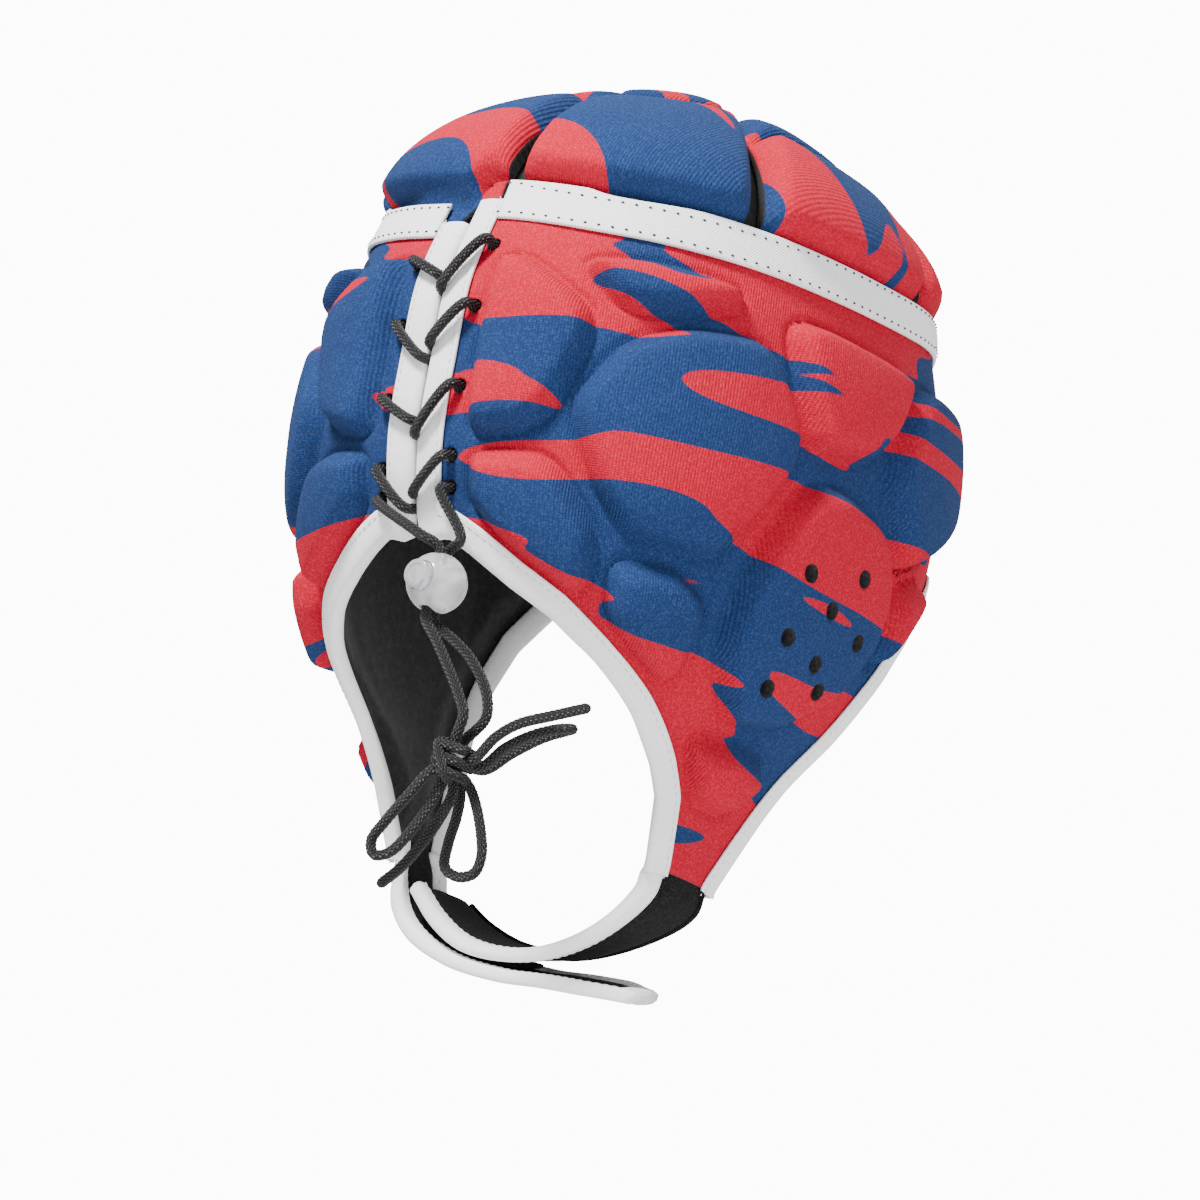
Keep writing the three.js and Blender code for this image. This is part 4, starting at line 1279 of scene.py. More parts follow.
    def sides(self, camo: Material, foam: Material, black: Material) -> None:
        """Makes both sides with their linings.

        Args:
            camo: The print.
            foam: What cut edges show.
            black: The lining's cloth.
        """
        for side in Side:
            azimuth, level, faces = self.grid(side, self.side_pitch)
            faces = self.punch(azimuth, level, faces, self.holes(side, True))
            edge = self.from_edge(azimuth, level)
            base = FORM.point(azimuth, level)
            raised = soft(6.2, 10.0, edge)
            depth = FORM.pad_rise + (self.pads.depth(azimuth, level) - FORM.pad_rise) * raised
            depth = depth + self.uneven(base) * raised
            uv = FORM.cloth_lengths(azimuth, level)
            back = FORM.wall_depth - self.pressed(edge) * 0.6
            shell = Mesher.walled(f"side_cloth_{side.word}", FORM.wall(azimuth, level, depth),
                                  FORM.wall(azimuth, level, back), faces, uv, [camo, foam])
            dress(shell, f"side_shell_{side.word}", "side_cloth")
            azimuth, level, faces = self.grid(side, self.lining_pitch)
            faces = self.punch(azimuth, level, faces, self.holes(side, False))
            uv = FORM.cloth_lengths(azimuth, level)
            edge = self.from_edge(azimuth, level)
            inside = self.pads.inside_by(azimuth, -level * FORM.skirt_drop)
            sag = (0.5 * soft(-3.0, 4.0, inside) - 0.25) * soft(7.0, 12.0, edge)
            thin = self.pressed(edge)
            lining = Mesher.walled(f"side_lining_cloth_{side.word}",
                                   FORM.wall(azimuth, level, FORM.lining_top - thin * 0.76),
                                   FORM.wall(azimuth, level, FORM.lining_bottom + sag - thin),
                                   faces, uv, [black])
            dress(lining, f"side_lining_{side.word}", "lining")
            LOG.info("side %s: %d faces", side.word, len(shell.data.polygons))

    def crown_grid(self, columns: int, rows: int) -> tuple[Array, Array, Array]:
        """Azimuths, levels and quads of the seven petals, parted at their slits.

        Args:
            columns: Columns a petal.
            rows: Rows a petal.

        Returns:
            The azimuths, the levels and the quads.
        """
        az_all, level_all, faces = [], [], []
        for petal in range(self.crown.slits):
            start = self.crown.turn + petal * self.crown.pitch
            share = np.linspace(0, 1, columns)
            plain = start + share * self.crown.pitch
            low = FORM.level_of(FORM.band_drop(plain) - FORM.gap / 2)
            level = low[:, None] + (1 - low)[:, None] * np.linspace(0, 1, rows)[None, :]
            a = np.repeat(plain[:, None], rows, axis=1)
            per = np.linalg.norm(FORM.point(a + 0.5, level) - FORM.point(a - 0.5, level), axis=-1)
            part = self.crown.half_slit(level) / np.maximum(per, 0.02)
            az_all.append((a + part * (1 - 2 * share[:, None])).ravel())
            level_all.append(level.ravel())
            faces.append(Mesher.grid_faces(columns, rows, petal * columns * rows))
        return np.concatenate(az_all), np.concatenate(level_all), np.concatenate(faces)

    def top(self, camo: Material, foam: Material, black: Material) -> None:
        """Makes the crown with its lining.

        Args:
            camo: The print.
            foam: What cut edges show.
            black: The lining's cloth.
        """
        azimuth, level, faces = self.crown_grid(*self.petal_grid)
        base = FORM.point(azimuth, level)
        depth = self.crown.depth(azimuth, level) + self.uneven(base)
        uv = base[:, :2] * MM
        shell = Mesher.walled("crown_cloth_petals", FORM.wall(azimuth, level, depth),
                              FORM.wall(azimuth, level, FORM.wall_depth),
                              faces, uv, [camo, foam], merge=MERGE)
        dress(shell, "crown_shell", "crown_cloth")
        columns, rows = self.crown_lining_grid
        turn = np.linspace(0, 360, columns)
        low = FORM.level_of(FORM.band_drop(np.where(turn > 180, turn - 360, turn)) - FORM.gap / 2)
        low[[0, -1]] = low[[1, -2]]
        level = (low[:, None] + (1 - low)[:, None] * np.linspace(0, 1, rows)[None, :]).ravel()
        azimuth = np.repeat(turn, rows)
        base = FORM.point(azimuth, level)
        lining = Mesher.walled("crown_lining_cloth", FORM.wall(azimuth, level, FORM.lining_top),
                               FORM.wall(azimuth, level, FORM.lining_bottom),
                               Mesher.grid_faces(columns, rows), base[:, :2] * MM, [black],
                               merge=MERGE)
        dress(lining, "crown_lining", "lining")
        LOG.info("crown: %d faces", len(shell.data.polygons))


@dataclass
class Trimmings:
    """The band round the crown and the bindings folded over the edges."""

    band_thick: float = 1.2
    inset: float = 1.6
    run_on: tuple[float, ...] = (0.4, 0.8)

    def band(self, webbing: Material, stitches: StitchRows) -> None:
        """Makes the band with its two rows of stitches.

        Args:
            webbing: The band's material.
            stitches: Lays the stitches.
        """
        start = FORM.degrees_back(FORM.lace_edge + FORM.tape_width + FORM.gap)
        turn = np.linspace(start, 360 - start, 420)
        middle = FORM.band_drop(np.where(turn > 180, turn - 360, turn))
        middle = eased(middle, 15)
        low = FORM.pad_rise - FORM.gap
        across = np.array([-1, -0.985, -0.93, -0.8, -0.4, 0, 0.4, 0.8, 0.93, 0.985, 1])
        half = np.array([0.35, 0.75, 0.95, 1, 1.08, 1.1])
        lift = np.concatenate([half, half[-2::-1]]) * self.band_thick

        def at(x: float, depth: float) -> Array:
            """Points of the band, x half-widths from its middle, at a depth."""
            return FORM.wall(turn, FORM.level_of(middle + x * FORM.band_width / 2), depth)

        over = [at(x, low - h) for x, h in zip(across, lift)]
        under = [at(x, low) for x in (0.985, 0.5, 0, -0.5, -0.985)]
        strip = Mesher.lofted("crown_webbing", np.stack(over + under, axis=1), webbing)
        dress(strip, "crown_band", "tape")
        rows = [FORM.wall(turn, FORM.level_of(middle + x * (FORM.band_width / 2 - self.inset)),
                          low - self.band_thick - 0.08) for x in (-1, 1)]
        stitches.lay("crown_band_stitches", rows, BAND_STITCH)

    def section(self, edge: Array, leg: Array, swell: Array) -> Array:
        """Rings of the folded tape.

        Args:
            edge: Azimuth and level of the wall's edge at each station.
            leg: The same for the tape's inner edge.
            swell: How far its fold stands out at each station, in millimetres.

        Returns:
            Rings by points by three numbers.
        """
        def on(place: Array, depth: float) -> Array:
            """Points of the wall at a depth."""
            return FORM.wall(place[:, 0], place[:, 1], depth)

        path = on(edge, FORM.pad_rise)
        along = directions(path)
        middle = (FORM.pad_rise + FORM.lining_bottom) / 2
        away = on(edge, middle) - on(leg, middle)
        away -= along * (away * along).sum(axis=1, keepdims=True)
        away /= np.linalg.norm(away, axis=1, keepdims=True)
        top, under = FORM.pad_rise - FORM.gap, FORM.lining_bottom + 0.35 - FORM.edge_press
        thick, gap = FORM.tape_thick, FORM.gap

        def between(share: float, depth: float) -> Array:
            """Points from the tape's inner edge to its fold, at a depth."""
            return on(leg, depth) * (1 - share) + (on(edge, depth) + away * gap) * share

        ring = [between(share, top - thick * part) for share, part
                in ((0.0, 0.45), (0.03, 0.85), (0.15, 1), (0.35, 0.86), (0.6, 1.12), (0.85, 1.1))]
        for turn in np.linspace(0, math.pi, 9)[1:-1]:
            half = (under - top + 2 * thick) / 2
            depth = (top - thick + under + thick) / 2 - math.cos(turn) * half
            ring.append(on(edge, depth) + away * (gap + swell[:, None] * math.sin(turn) ** 0.7))
        ring += [between(share, under + thick * part) for share, part
                 in ((0.85, 1.05), (0.5, 1), (0.04, 0.8), (0.0, 0.4))]
        ring += [between(share, under) for share in (0.02, 0.5, 1.0)]
        ring += [between(share, top) for share in (1.0, 0.5, 0.02)]
        return np.stack(ring, axis=1)

    def tape(self, name: str, node: str, edge: Array, leg: Array, cloth: Material,
             stitches: StitchRows) -> None:
        """Makes one binding with its stitch line.

        Args:
            name: The piece's name.
            node: The solid it stands for.
            edge: Azimuth and level of the wall's edge at each station.
            leg: The same for the tape's inner edge.
            cloth: Its material.
            stitches: Lays the stitches.
        """
        beside_lace = np.abs(np.abs(edge[:, 0]) - FORM.side_edge) < 0.05
        swell = np.where(beside_lace, 3.7, 1.5).astype(float)
        rings = self.section(edge, leg, eased(swell, 9))
        strip = Mesher.lofted(name, rings, cloth)
        dress(strip, node, "tape")
        line = rings[:, 3] * 0.5 + rings[:, 2] * 0.5
        out = FORM.normal((edge[:, 0] + leg[:, 0]) / 2, (edge[:, 1] + leg[:, 1]) / 2)
        stitches.lay(name + "_stitches", [even_line(line + out * 0.1, 1.0)], EDGE_STITCH)

    def nape(self, side: Side, cloth: Material, stitches: StitchRows) -> None:
        """Makes the binding down the laces and round the nape.

        Args:
            side: Which side.
            cloth: The tape's material.
            stitches: Lays the stitches.
        """
        sign = side.value
        top = FORM.band_drop(sign * FORM.side_edge) + FORM.gap / 2
        end, foot = float(FORM.leg_drop(FORM.side_leg)), float(FORM.rim_drop(FORM.side_edge))
        down = np.linspace(float(top), end, 90)
        edge = [(sign * FORM.side_edge, d) for d in down]
        leg = [(sign * FORM.side_leg, d) for d in down]
        for share in np.linspace(0, 1, 6)[1:]:
            edge.append((sign * FORM.side_edge, end + (foot - end) * share))
            leg.append((sign * FORM.side_leg, end))
        for share in np.linspace(0, 1, 6)[1:]:
            a = FORM.side_edge + (FORM.side_leg - FORM.side_edge) * share
            edge.append((sign * a, float(FORM.rim_drop(a))))
            leg.append((sign * FORM.side_leg, end))
        near, far = FORM.flap_turns[:2]
        turn = np.concatenate([np.linspace(FORM.side_leg, near, 150)[1:],
                               np.linspace(near, far, 18)[1:]])
        turn, drop = self.run_past(turn, FORM.rim_drop(turn), False)
        inner_turn, inner_drop = self.inner_edge(turn, drop)
        edge += list(zip(sign * turn, drop))
        leg += list(zip(sign * inner_turn, inner_drop))
        self.tape(f"nape_tape_{side.word}", f"nape_binding_{side.word}", self.levels(edge),
                  self.levels(leg), cloth, stitches)

    def run_past(self, turn: Array, drop: Array, both: bool) -> tuple[Array, Array]:
        """A tape's line run on a little past the flap's end, at its last end or at both.

        Args:
            turn: Azimuths of the line.
            drop: Its drops.
            both: True to run on at both ends.

        Returns:
            The longer line's azimuths and drops.
        """
        more = np.array(self.run_on)
        turn = np.append(turn, np.full(len(more), turn[-1]))
        drop = np.append(drop, drop[-1] + more)
        if both:
            turn = np.insert(turn, 0, np.full(len(more), turn[0]))
            drop = np.insert(drop, 0, (drop[0] + more)[::-1])
        return turn, drop

    def inner_edge(self, turn: Array, drop: Array) -> tuple[Array, Array]:
        """The tape's inner edge, its width in from the wall's edge and square to it.

        Args:
            turn: Azimuths of the edge.
            drop: Millimetres under the ring.

        Returns:
            Its azimuths and drops.
        """
        level = FORM.level_of(drop)
        per = np.linalg.norm(FORM.point(turn + 0.5, level) - FORM.point(turn - 0.5, level), axis=-1)
        across, down = np.gradient(turn) * per, np.gradient(drop)
        length = np.maximum(np.hypot(across, down), 1e-6)
        across, down = (eased(x / length, 9) for x in (across, down))
        length = np.maximum(np.hypot(across, down), 1e-6)
        wide = FORM.tape_width
        return turn + wide * down / length / per, drop - wide * across / length

    def levels(self, places: Sequence[tuple[float, float]]) -> Array:
        """Azimuths and drops made azimuths and levels."""
        p = np.array(places, float)
        return np.stack([p[:, 0], FORM.level_of(p[:, 1])], axis=1)

    def face(self, cloth: Material, stitches: StitchRows) -> None:
        """Makes the binding round the face opening.

        Args:
            cloth: The tape's material.
            stitches: Lays the stitches.
        """
        near, far = FORM.flap_turns[2:]
        half = np.concatenate([np.linspace(near, far, 20)[:-1], np.linspace(far, far + 6, 30)[:-1],
                               np.linspace(far + 6, 180, 120)])
        turn = np.concatenate([half, 360 - half[:-1][::-1]])
        turn, drop = self.run_past(turn, FORM.rim_drop(turn), True)
        edge, leg = np.stack([turn, drop], axis=1), np.stack(self.inner_edge(turn, drop), axis=1)
        self.tape("face_tape", "face_binding", self.levels(edge), self.levels(leg), cloth, stitches)


@dataclass
class ChinStrap:
    """The two straps that close under the chin, with their white edges and the hook patch."""

    width: float = 28.0
    thick: float = 3.2
    trim: float = 6.0
    hook_thick: float = 1.8
    tuck: float = 7.0
    roll: float = 0.26
    taper: float = 0.55
    tip_start: float = 27.0
    tip_end: float = 43.0
    right_rows: tuple[tuple[float, float], ...] = (
        (-33, -192), (-16, -198.5), (0, -200), (15, -197.6), (27, -191.6), (36, -184.5),
    )
    left_rows: tuple[tuple[float, float], ...] = (
        (37, -193.5), (20, -202), (0, -206), (-16, -207), (-30, -208.3), (-42, -210),
    )

    def middle(self) -> float:
        """Y of the strap's middle line."""
        ends = FORM.wall(np.array(FORM.flap_turns[1:3]), np.array([-1.0, -1.0]), FORM.wall_depth)
        return float(ends[:, 1].mean())

    def line(self, side: Side, pitch: float) -> Array:
        """The strap's middle line as X and Z, from the flap's end on.

        Args:
            side: Which side.
            pitch: The distance between stations.

        Returns:
            Its stations.
        """
        depth = (FORM.pad_rise + FORM.lining_bottom) / 2
        at = side.value * 83.0
        two = FORM.wall(np.array([at, at]), np.array([-1.0, -0.98]), np.full(2, depth))
        down = (two[0] - two[1]) / np.linalg.norm(two[0] - two[1])
        turn = side.value * np.repeat([64.0, 73.0, 83.0, 93.0, 102.0], 2)
        faces = np.tile([FORM.pad_rise, FORM.lining_bottom], 5)
        corners = FORM.wall(turn, np.full(10, -1.0), faces)
        start = two[0] + down * ((corners @ down).max() - two[0] @ down + FORM.gap)
        second = start + down * 5.0
        rows = self.right_rows if side is Side.RIGHT else self.left_rows
        tucked = start - down * self.tuck
        first = [(p[0], p[2]) for p in (tucked, start, second)]
        return smooth_line([*first, *rows], pitch)

    def settled(self, side: Side, points: Array) -> Array:
        """A strap's points rolled under the chin, bent to its flap, and narrowed at the free end.

        Args:
            side: Which strap.
            points: The points of the strap laid flat across.

        Returns:
            The points where they lie.
        """
        p = points.copy()
        mid = self.middle()
        foot = -FORM.skirt_drop
        beside = soft(26, 44, -side.value * p[..., 0])
        own = beside * soft(foot - 14, foot, p[..., 2])
        roll = self.roll * soft(foot - 24, foot - 2, p[..., 2]) - self.roll
        if side is Side.LEFT:
            narrow = 1 - self.taper * soft(self.tip_start, self.tip_end, -p[..., 0])
            p[..., 1] = mid + (p[..., 1] - mid) * narrow
        hidden = 0.22 * beside * soft(0, self.tuck, p[..., 2] + FORM.skirt_drop)
        p[..., 1] = mid + (p[..., 1] - mid) * (1 - hidden - 0.1 * own)
        p[..., 2] = p[..., 2] + (p[..., 1] - mid) * roll
        turn = np.linspace(56.0, 112.0, 29)
        end = FORM.wall(turn, np.full(29, -1.0), (FORM.pad_rise + FORM.lining_bottom) / 2)
        bend = np.interp(-p[..., 1], -end[:, 1], end[:, 0]) - np.interp(-mid, -end[:, 1], end[:, 0])
        p[..., 0] += side.value * bend * own
        return p

    def ribbon(self, side: Side, name: str, line: Array, low: float, high: float, thick: float,
               shift: float, puff: float, finish: Material) -> Piece:
        """A strip along the line.

        Args:
            side: Which strap it belongs to.
            name: The piece's name.
            line: X and Z of its middle.
            low: Its front edge from the strap's middle.
            high: Its back edge.
            thick: Its thickness.
            shift: How far it stands off the line.
            puff: How far its faces swell.
            finish: Its material.

        Returns:
            The object.
        """
        along = directions(line)
        out = np.stack([-along[:, 1], along[:, 0]], axis=1)
        share = np.linspace(-1, 1, 9)
        ring = [(s, 1.0) for s in share] + [(s, -1.0) for s in share[::-1]]
        rows = []
        for s, face in ring:
            half = thick / 2 * (1 - abs(s) ** 5 * 0.55) + puff * (1 - s * s)
            y = self.middle() + (low + high) / 2 + (high - low) / 2 * s
            xz = line + out * (shift + face * half)
            rows.append(np.stack([xz[:, 0], np.full(len(line), y), xz[:, 1]], axis=1))
        return Mesher.lofted(name, self.settled(side, np.stack(rows, axis=1)), finish)

    def build(self, pile: Material, white: Material, hooks: Material,
              stitches: StitchRows) -> None:
        """Makes both straps and the hook patch.

        Args:
            pile: The strap's loop cloth.
            white: The edge tape's material.
            hooks: The patch's material.
            stitches: Lays the stitches.
        """
        core = self.width / 2 - self.trim - FORM.gap
        for side in Side:
            line = self.line(side, 1.2)
            dark_edge = self.width / 2 - 1.6 if side is Side.RIGHT else core
            strap = self.ribbon(side, f"strap_cloth_{side.word}", line, -dark_edge, core,
                                self.thick, 0.0, 0.1, pile)
            dress(strap, f"chin_strap_{side.word}", "strap_loop")
            rows = []
            for place, way in (("back", 1), ("front", -1)):
                dark = side is Side.RIGHT and place == "front"
                inner = dark_edge if dark else core
                ends = sorted((way * (inner + (0.05 if dark else FORM.gap)), way * self.width / 2))
                under, more = (0.0, -0.2) if dark else (0.1, 0.5)
                trim = self.ribbon(side, f"strap_tape_{side.word}_{place}", line,
                                   ends[0] - under, ends[1], self.thick + more, 0.0, 0.2,
                                   pile if dark else white)
                dress(trim, f"chin_strap_{side.word}_trim_{place}", "tape")
                if not dark:
                    rows += self.stitch_lines(side, line, way * (core + 1.8))
            stitches.lay(f"strap_stitches_{side.word}", rows, EDGE_STITCH)
            LOG.info("strap %s: %.1f mm long", side.word, line_length(line))
        line = self.line(Side.LEFT, 0.6)
        end = line[-1] + (line[-1] - line[-6]) / np.linalg.norm(line[-1] - line[-6]) * 1.6
        tip = self.ribbon(Side.LEFT, "strap_tape_tip", np.vstack([line[-7:], end[None]]),
                          -self.width / 2, self.width / 2, self.thick + 0.6, 0.0, 0.25, white)
        dress(tip, "chin_strap_left_trim_back", "tape")
        n = len(line)
        half = self.width / 2 - self.trim - 1.0
        patch = self.ribbon(Side.LEFT, "hook_cloth", line[int(n * 0.36):int(n * 0.62)], -half, half,
                            self.hook_thick, -(self.thick + self.hook_thick) / 2 - FORM.gap,
                            0.0, hooks)
        dress(patch, "hook_patch", "strap_loop")

    def stitch_lines(self, side: Side, line: Array, across: float) -> list[Array]:
        """Lines for stitches on both faces of a strap's edge tape.

        Args:
            side: Which side.
            line: The strap's middle line.
            across: Millimetres from its middle.

        Returns:
            The lines.
        """
        line = line[int(self.tuck / 1.2) + 2:]
        along = directions(line)
        out = np.stack([-along[:, 1], along[:, 0]], axis=1)
        found = []
        for face in (1.0, -1.0):
            xz = line + out * face * (self.thick / 2 + 0.42)
            y = np.full(len(line), self.middle() + across)
            flat = np.stack([xz[:, 0], y, xz[:, 1]], axis=1)
            found.append(self.settled(side, flat))
        return found


@dataclass
class Lacing:
    """The braided lace, its free ends and the knot in them."""

    thick: float = 3.0
    strands: int = 8
    strand_step: float = 1.7
    ring_pitch: float = 0.34
    ring_sides: int = 24
    hole_side: float = ClothWalls.lace_hole_side
    cross_step: float = 4.0
    dip: float = 0.062
    lock_at: Point = (-17, 96, -119)
    lock_radius: float = 8.5
    fit: float = 0.4
    knot_at: Point = (-36, 96, -170)
    knot_radius: float = 6.5
    knot_over: tuple = (
        (-3.0, 2.0, -5.0), (-2.6, 5.0, -3.2), (0.4, 6.1, 0.6), (3.6, 4.4, 4.0), (3.0, 0.5, 5.2),
    )
    knot_under: tuple = (
        (4.6, 0.0, -3.6), (3.9, -4.0, -0.6), (0.0, -5.6, 1.2), (-4.0, -3.4, 3.6), (-2.0, 1.0, 4.8),
    )
    rows: tuple[tuple[float, float], ...] = ClothWalls.lace_rows
    hang_left: tuple = (
        (-17, 97.9, -128.8), (-17.8, 98, -130.5), (-22.5, 98.5, -135.2), (-28, 99, -141.5),
        (-35.5, 99, -151.5),
        (-38, 98.6, -156.5), (-37.3, 98.1, -160), (-36.6, 97.9, -162.7),
    )
    hang_right: tuple = (
        (-17, 94.1, -128.8), (-18, 94, -130.3), (-23.8, 93.6, -133.6), (-32, 93, -139.5),
        (-40, 93, -149.5),
        (-41.6, 93.2, -156), (-39, 93.6, -160), (-36.6, 94, -162.5),
    )
    tail_long: tuple = (
        (-43.2, 96.4, -168.5), (-49, 96.8, -162.5), (-56, 97, -158.6), (-67, 97, -156),
        (-78.5, 96.5, -153.3),
    )
    bow_loop: tuple = (
        (-43, 92.6, -169.5), (-49.5, 92.6, -164.2), (-58, 92.4, -160.2), (-66, 92, -158.2),
        (-69, 90, -157.5),
        (-66, 88, -157.4), (-58, 87.8, -159.6), (-49, 88.4, -164.4), (-41.5, 89.2, -169.5),
    )
    loop_left: tuple = (
        (-33.2, 101.9, -174.2), (-29.5, 103, -180), (-23, 103.4, -188.5), (-19.3, 103, -194),
        (-20.3, 102, -197.4),
        (-24.5, 101, -196.5), (-29.5, 99.8, -190), (-32.6, 98.6, -183), (-34.2, 97.6, -177.6),
    )
    loop_right: tuple = (
        (-39.5, 91.2, -175.2), (-42, 90, -180), (-44.6, 89, -187), (-46, 88.6, -193),
        (-44.6, 88.2, -197.6),
        (-39, 88, -199), (-34, 88.2, -196.5), (-34, 88.8, -190), (-35.6, 89.6, -183),
        (-36, 90.6, -176.4),
    )
    tail_low: tuple = (
        (-36.2, 94, -177.4), (-34.5, 94.2, -183), (-31.2, 95, -190.5), (-25.6, 96, -199),
        (-19.5, 96.6, -204.6),
    )

    def braid(self, name: str, points: Array, finish: Material) -> Piece:
        """A round braided cord along stations, its strands raised.

        Args:
            name: The piece's name.
            points: The line it follows, in the ring's millimetres.
            finish: Its material.

        Returns:
            The object.
        """
        line = even_line(points, self.ring_pitch)
        along = directions(line)
        side = np.cross(along[0], [0.31, 0.2, 0.93])
        frames = []
        for way in along:
            side = side - way * (side @ way)
            side = side / np.linalg.norm(side)
            frames.append((side, np.cross(way, side)))
        first, second = (np.array([f[k] for f in frames]) for k in (0, 1))
        turn = np.arange(self.ring_sides) * 2 * math.pi / self.ring_sides
        run = np.arange(len(line)) * line_length(line) / (len(line) - 1)
        lay = run[:, None] * math.pi / self.strand_step
        round_about = turn[None, :] * self.strands / 2
        lump = np.abs(np.sin(round_about + lay) * np.sin(round_about - lay))
        radius = self.thick / 2 * (0.86 + 0.2 * lump)
        taper = np.minimum(1.0, 0.55 + 0.45 * np.minimum(run, run[-1] - run) / 1.0)
        radius = radius * taper[:, None]
        rings = (line[:, None] + first[:, None] * (np.cos(turn)[None, :] * radius)[..., None]
                 + second[:, None] * (np.sin(turn)[None, :] * radius)[..., None])
        cord = Mesher.lofted(name, rings, finish, math.pi * self.thick)
        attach(cord, "cap")
        return cord

    def tucked(self, points: Sequence) -> Array:
        """A free stretch whose ends near the lock and the knot reach a little way into them.

        Args:
            points: The stretch's points.

        Returns:
            The longer stretch.
        """
        line, middle = np.array(points, float), np.array(self.knot_at, float)
        if line[0][2] > self.lock_at[2] - self.lock_radius - 3.0:
            line = np.insert(line, 0, line[0] + [0.0, 0.0, 2.2], axis=0)
        for end in (0, -1):
            away = line[end] - middle
            if np.linalg.norm(away) < self.knot_radius + 4.0:
                line = np.insert(line, 0 if end == 0 else len(line), middle + away * 0.45, axis=0)
        return line

    def free(self, name: str, points: Sequence, finish: Material, far_end: str) -> None:
        """A free stretch of the lace, whose measured length is logged.

        Args:
            name: Its name.
            points: Points, in millimetres.
            finish: Its material.
            far_end: Not used.
        """
        line = smooth_line(self.tucked(points), 0.8)
        cord = self.braid(name + "_braid", line, finish)
        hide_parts(name)
        self.thick * MM
        LOG.info("%s: %.1f mm", name, line_length(line))

    def route(self, sign: int) -> list[Array]:
        """Points of one of the lace's two runs, from its top hole to the lock.

        Args:
            sign: 1 or -1, for the two runs.

        Returns:
            The points.
        """
        inside = FORM.lining_bottom + FORM.tape_slack + FORM.tape_thick + FORM.gap + self.thick / 2
        over = FORM.pad_rise - FORM.tape_thick - 3 * FORM.gap - self.thick / 2
        hole = FORM.degrees_back(self.hole_side)
        found: list[Array] = []

        def at(azimuth: float, drop: float, depth: float) -> None:
            """Adds the wall's point at a place and depth."""
            found.append(FORM.wall(np.array([azimuth]), np.array([-drop]), np.array([depth]))[0])

        for i, row in enumerate(self.rows):
            start = sign * (1 if i % 2 == 0 else -1)
            drop = row[0] if start > 0 else row[1]
            at(start * hole, drop, inside)
            at(start * hole, drop, FORM.pad_rise)
            at(start * (hole - 0.7), drop + 0.002, over)
            if i < len(self.rows) - 1:
                apart = (sign * self.cross_step) / 2 / FORM.skirt_drop
                cross = (row[0] + row[1]) / 2 + self.dip + apart
                at(start * FORM.degrees_back(2.0), cross - 0.004, over + 0.4)
                at(0, cross, FORM.pad_rise + 1)
                at(0, cross + 0.003, inside)
        x, y, z = self.lock_at
        lane = y - sign * (self.thick / 2 + self.fit)
        aside = -6 if sign > 0 else 5
        found.append(np.array([x + aside, lane - sign * 0.6 + 3.5, z + self.lock_radius + 4]))
        found.append(np.array([x, lane, z + self.lock_radius + 0.8]))
        found.append(np.array([x, lane, z - self.lock_radius - 0.4]))
        return found

    def knot_lines(self) -> list[Array]:
        """The knot's strands: two wraps round the cords, and two that cross over and under.

        Returns:
            The lines.
        """
        t = np.linspace(0, 1, 160)
        turn = 2 * math.pi * (2.35 * t + 0.1)
        height = -4.2 + 8.2 * t + 0.7 * np.sin(turn)
        wraps = np.stack([np.cos(turn) * 4.9, np.sin(turn) * 4.7, height], axis=1)
        over, under = (smooth_line(rows, 0.3) for rows in (self.knot_over, self.knot_under))
        tilt = np.array(Matrix.Rotation(math.radians(-14), 3, "Y"))
        return [line @ tilt.T + np.array(self.knot_at) for line in (wraps, over, under)]

    def build(self, finish: Material) -> None:
        """Makes the lace's free ends.

        Args:
            finish: Its material.
        """
        for name, points, end in (
            ("hang_left", self.hang_left, "object"), ("hang_right", self.hang_right, "object"),
            ("tail_long", self.tail_long, "bare"), ("tail_low", self.tail_low, "bare"),
            ("bow_loop", self.bow_loop, "object"), ("loop_left", self.loop_left, "object"),
            ("loop_right", self.loop_right, "object"),
        ):
            self.free("lace_" + name, points, finish, end)

    def threaded(self, finish: Material) -> None:
        """Makes the lace in its holes, and the knot.

        Args:
            finish: Its material.
        """
        points = self.route(1)[::-1] + self.route(-1)
        lace = self.braid("lace_braid", smooth_line(points, 0.5), finish)
        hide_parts("lace")
        for word, line in zip(("wraps", "over", "under"), self.knot_lines()):
            strand = self.braid(f"knot_{word}_braid", line, finish)
            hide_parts("lace_knot")


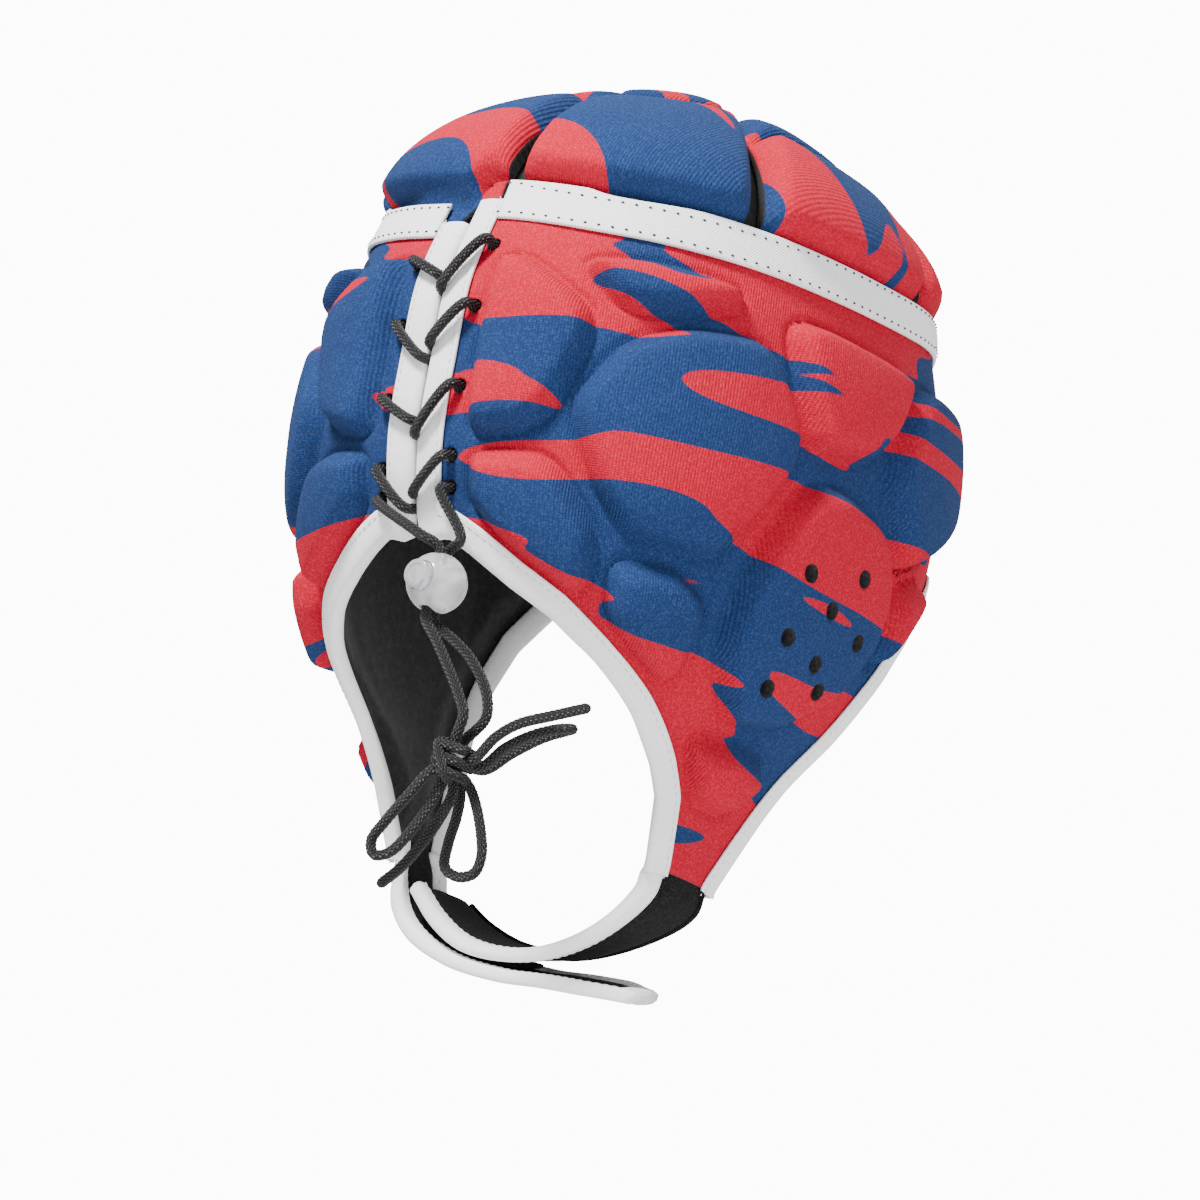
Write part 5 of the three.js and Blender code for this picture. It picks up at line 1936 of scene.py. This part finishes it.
@dataclass
class CordLock:
    """The clear ball with its passage for two cords, and the sprung button."""

    at: Point = Lacing.lock_at
    radius: float = Lacing.lock_radius
    plunger: float = 4.0
    stand_out: float = 1.6
    travel: float = 2.0
    thick: float = Lacing.thick
    fit: float = Lacing.fit
    gap: float = FORM.gap

    def revolved(self, profile: Sequence[tuple[float, float]], sides: int) -> bmesh.types.BMesh:
        """A closed body turned about Y from radius and Y pairs, both ends on the axis.

        Args:
            profile: Radius and Y pairs.
            sides: How many sides it has.

        Returns:
            The body.
        """
        work = bmesh.new()
        rings = []
        for radius, y in profile:
            if radius < 1e-6:
                rings.append([work.verts.new((0, y, 0))])
            else:
                turn = [2 * math.pi * k / sides for k in range(sides)]
                ring = [(radius * math.cos(a), y, radius * math.sin(a)) for a in turn]
                rings.append([work.verts.new(place) for place in ring])
        for low, high in zip(rings[:-1], rings[1:]):
            for k in range(sides):
                m = (k + 1) % sides
                if len(low) == 1:
                    work.faces.new((low[0], high[k], high[m]))
                elif len(high) == 1:
                    work.faces.new((low[k], high[0], low[m]))
                else:
                    work.faces.new((low[k], high[k], high[m], low[m]))
        bmesh.ops.recalc_face_normals(work, faces=work.faces)
        return work

    def carved(self, name: str, work: bmesh.types.BMesh, size: Point, shift: float,
               finish: Material) -> Piece:
        """Cuts the cords' passage through a body and places it.

        Args:
            name: The piece's name.
            work: The body about the origin, in millimetres.
            size: The passage's size along X, Y and Z.
            shift: How far the passage stands along Y.
            finish: The material.

        Returns:
            The object.
        """
        mesh = bpy.data.meshes.new(name)
        work.to_mesh(mesh)
        work.free()
        body = bpy.data.objects.new(name + "_raw", mesh)
        cutter_mesh = bpy.data.meshes.new("passage")
        box = bmesh.new()
        bmesh.ops.create_cube(box, size=1.0)
        bmesh.ops.scale(box, vec=size, verts=box.verts)
        bmesh.ops.translate(box, vec=(0, shift, 0), verts=box.verts)
        upright = [e for e in box.edges if abs((e.verts[0].co - e.verts[1].co).z) > 1]
        bmesh.ops.bevel(box, geom=upright, offset=1.4, segments=4, profile=0.5, affect="EDGES")
        box.to_mesh(cutter_mesh)
        box.free()
        cutter = bpy.data.objects.new("passage", cutter_mesh)
        for thing in (body, cutter):
            bpy.context.scene.collection.objects.link(thing)
        cut = body.modifiers.new("passage", "BOOLEAN")
        cut.operation, cut.object, cut.solver = "DIFFERENCE", cutter, "EXACT"
        depsgraph = bpy.context.evaluated_depsgraph_get()
        made = bpy.data.meshes.new_from_object(body.evaluated_get(depsgraph))
        bpy.data.objects.remove(body)
        bpy.data.objects.remove(cutter)
        made.name = name
        place = FORM.metres(np.array([self.at]))[0]
        made.transform(Matrix.Translation(Vector(place)) @ Matrix.Scale(MM, 4))
        made.materials.clear()
        made.materials.append(finish)
        made.polygons.foreach_set("use_smooth", np.ones(len(made.polygons), bool))
        made.set_sharp_from_angle(angle=math.radians(38))
        piece = bpy.data.objects.new(name, made)
        bpy.context.scene.collection.objects.link(piece)
        return piece

    def build(self, finish: Material) -> None:
        """Makes the ball and its button.

        Args:
            finish: Its material.
        """
        bore = self.plunger + self.gap
        mouth = math.sqrt(self.radius**2 - (bore + 0.5) ** 2)
        ball = [(0.0, -self.radius)]
        for a in np.linspace(-math.pi / 2, math.asin(mouth / self.radius), 30)[1:]:
            ball.append((self.radius * math.cos(a), self.radius * math.sin(a)))
        floor = -4.0 - self.travel
        ball += [(bore + 0.12, mouth + 0.2), (bore, mouth - 0.2), (bore, floor), (0.0, floor)]
        wide = self.thick / 2 + self.fit
        lane = (self.thick + 2 * self.fit, 4 * wide + 0.4, 3 * self.radius)
        body = self.carved("lock_ball", self.revolved(ball, 56), lane, 0.0, finish)
        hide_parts("cord_lock")
        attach(body, "cap")
        inner, outer = -(4 - self.gap), self.radius + self.stand_out
        r = self.plunger
        pin = [(0.0, inner), (r - 0.3, inner), (r, inner + 0.3), (r, outer - 0.7),
               (r - 0.2, outer - 0.25), (r - 0.7, outer), (r - 1.3, outer), (r - 1.6, outer - 0.35),
               (0.9, outer - 0.45), (0.0, outer - 0.45)]
        lane = (self.thick + 2 * self.fit, 4 * wide + self.travel + 0.4, 3 * self.plunger)
        button = self.carved("lock_button", self.revolved(pin, 40), lane, self.travel / 2, finish)
        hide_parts("cord_lock_button")
        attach(button, "button")


def main() -> None:
    """Builds the scene and reports each piece."""
    logging.basicConfig(level=logging.INFO, format="%(message)s")
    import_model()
    view = View()
    view.camera()
    lacing = Lacing()
    cord = BraidedCord("braided_cord", thick=lacing.thick, strands=lacing.strands,
                       strand_step=lacing.strand_step).material()
    lacing.build(cord)
    view.stage()
    camo = CamoKnit().material()
    camo_top = CamoKnit("camo_knit_crown", long_way=20.0, short_way=34.0,
                        shift=(0.37, 0.9, 0.0), turn=0.5).material()
    foam = PlainKnit("foam_edge", (0.010, 0.010, 0.011), (0.03, 0.03, 0.032),
                     0.002, 900.0).material()
    black = PlainKnit("black_lining", (0.009, 0.009, 0.0095), (0.022, 0.021, 0.021)).material()
    white = PlainKnit("white_binding", (0.90, 0.90, 0.92), (0.95, 0.95, 0.96),
                      0.0007, 600.0, 0.85).material()
    webbing = PlainKnit("white_webbing", (0.89, 0.90, 0.92), (0.94, 0.94, 0.96),
                        0.0011, 500.0, 0.8, 0.0004).material()
    dark_thread = PlainKnit("dark_thread", (0.03, 0.035, 0.06), (0.06, 0.06, 0.09),
                            0.0004, 2000.0).material()
    pale_thread = PlainKnit("pale_thread", (0.62, 0.62, 0.66), (0.72, 0.72, 0.76),
                            0.0004, 2000.0).material()
    pile = LoopPile("loop_pile", (0.007, 0.007, 0.0075), (0.026, 0.026, 0.027)).material()
    hooks = LoopPile("hook_pile", (0.008, 0.008, 0.009), (0.03, 0.03, 0.03), 1700.0).material()
    walls = ClothWalls()
    walls.sides(camo, foam, black)
    walls.top(camo_top, foam, black)
    trimmings = Trimmings()
    trimmings.band(webbing, StitchRows(dark_thread))
    pale = StitchRows(pale_thread)
    for side in Side:
        trimmings.nape(side, white, pale)
    trimmings.face(white, pale)
    ChinStrap().build(pile, white, hooks, pale)
    lacing.threaded(cord)
    CordLock().build(Plastic().material())
    bpy.context.view_layer.update()


if __name__ == "__main__":
    main()
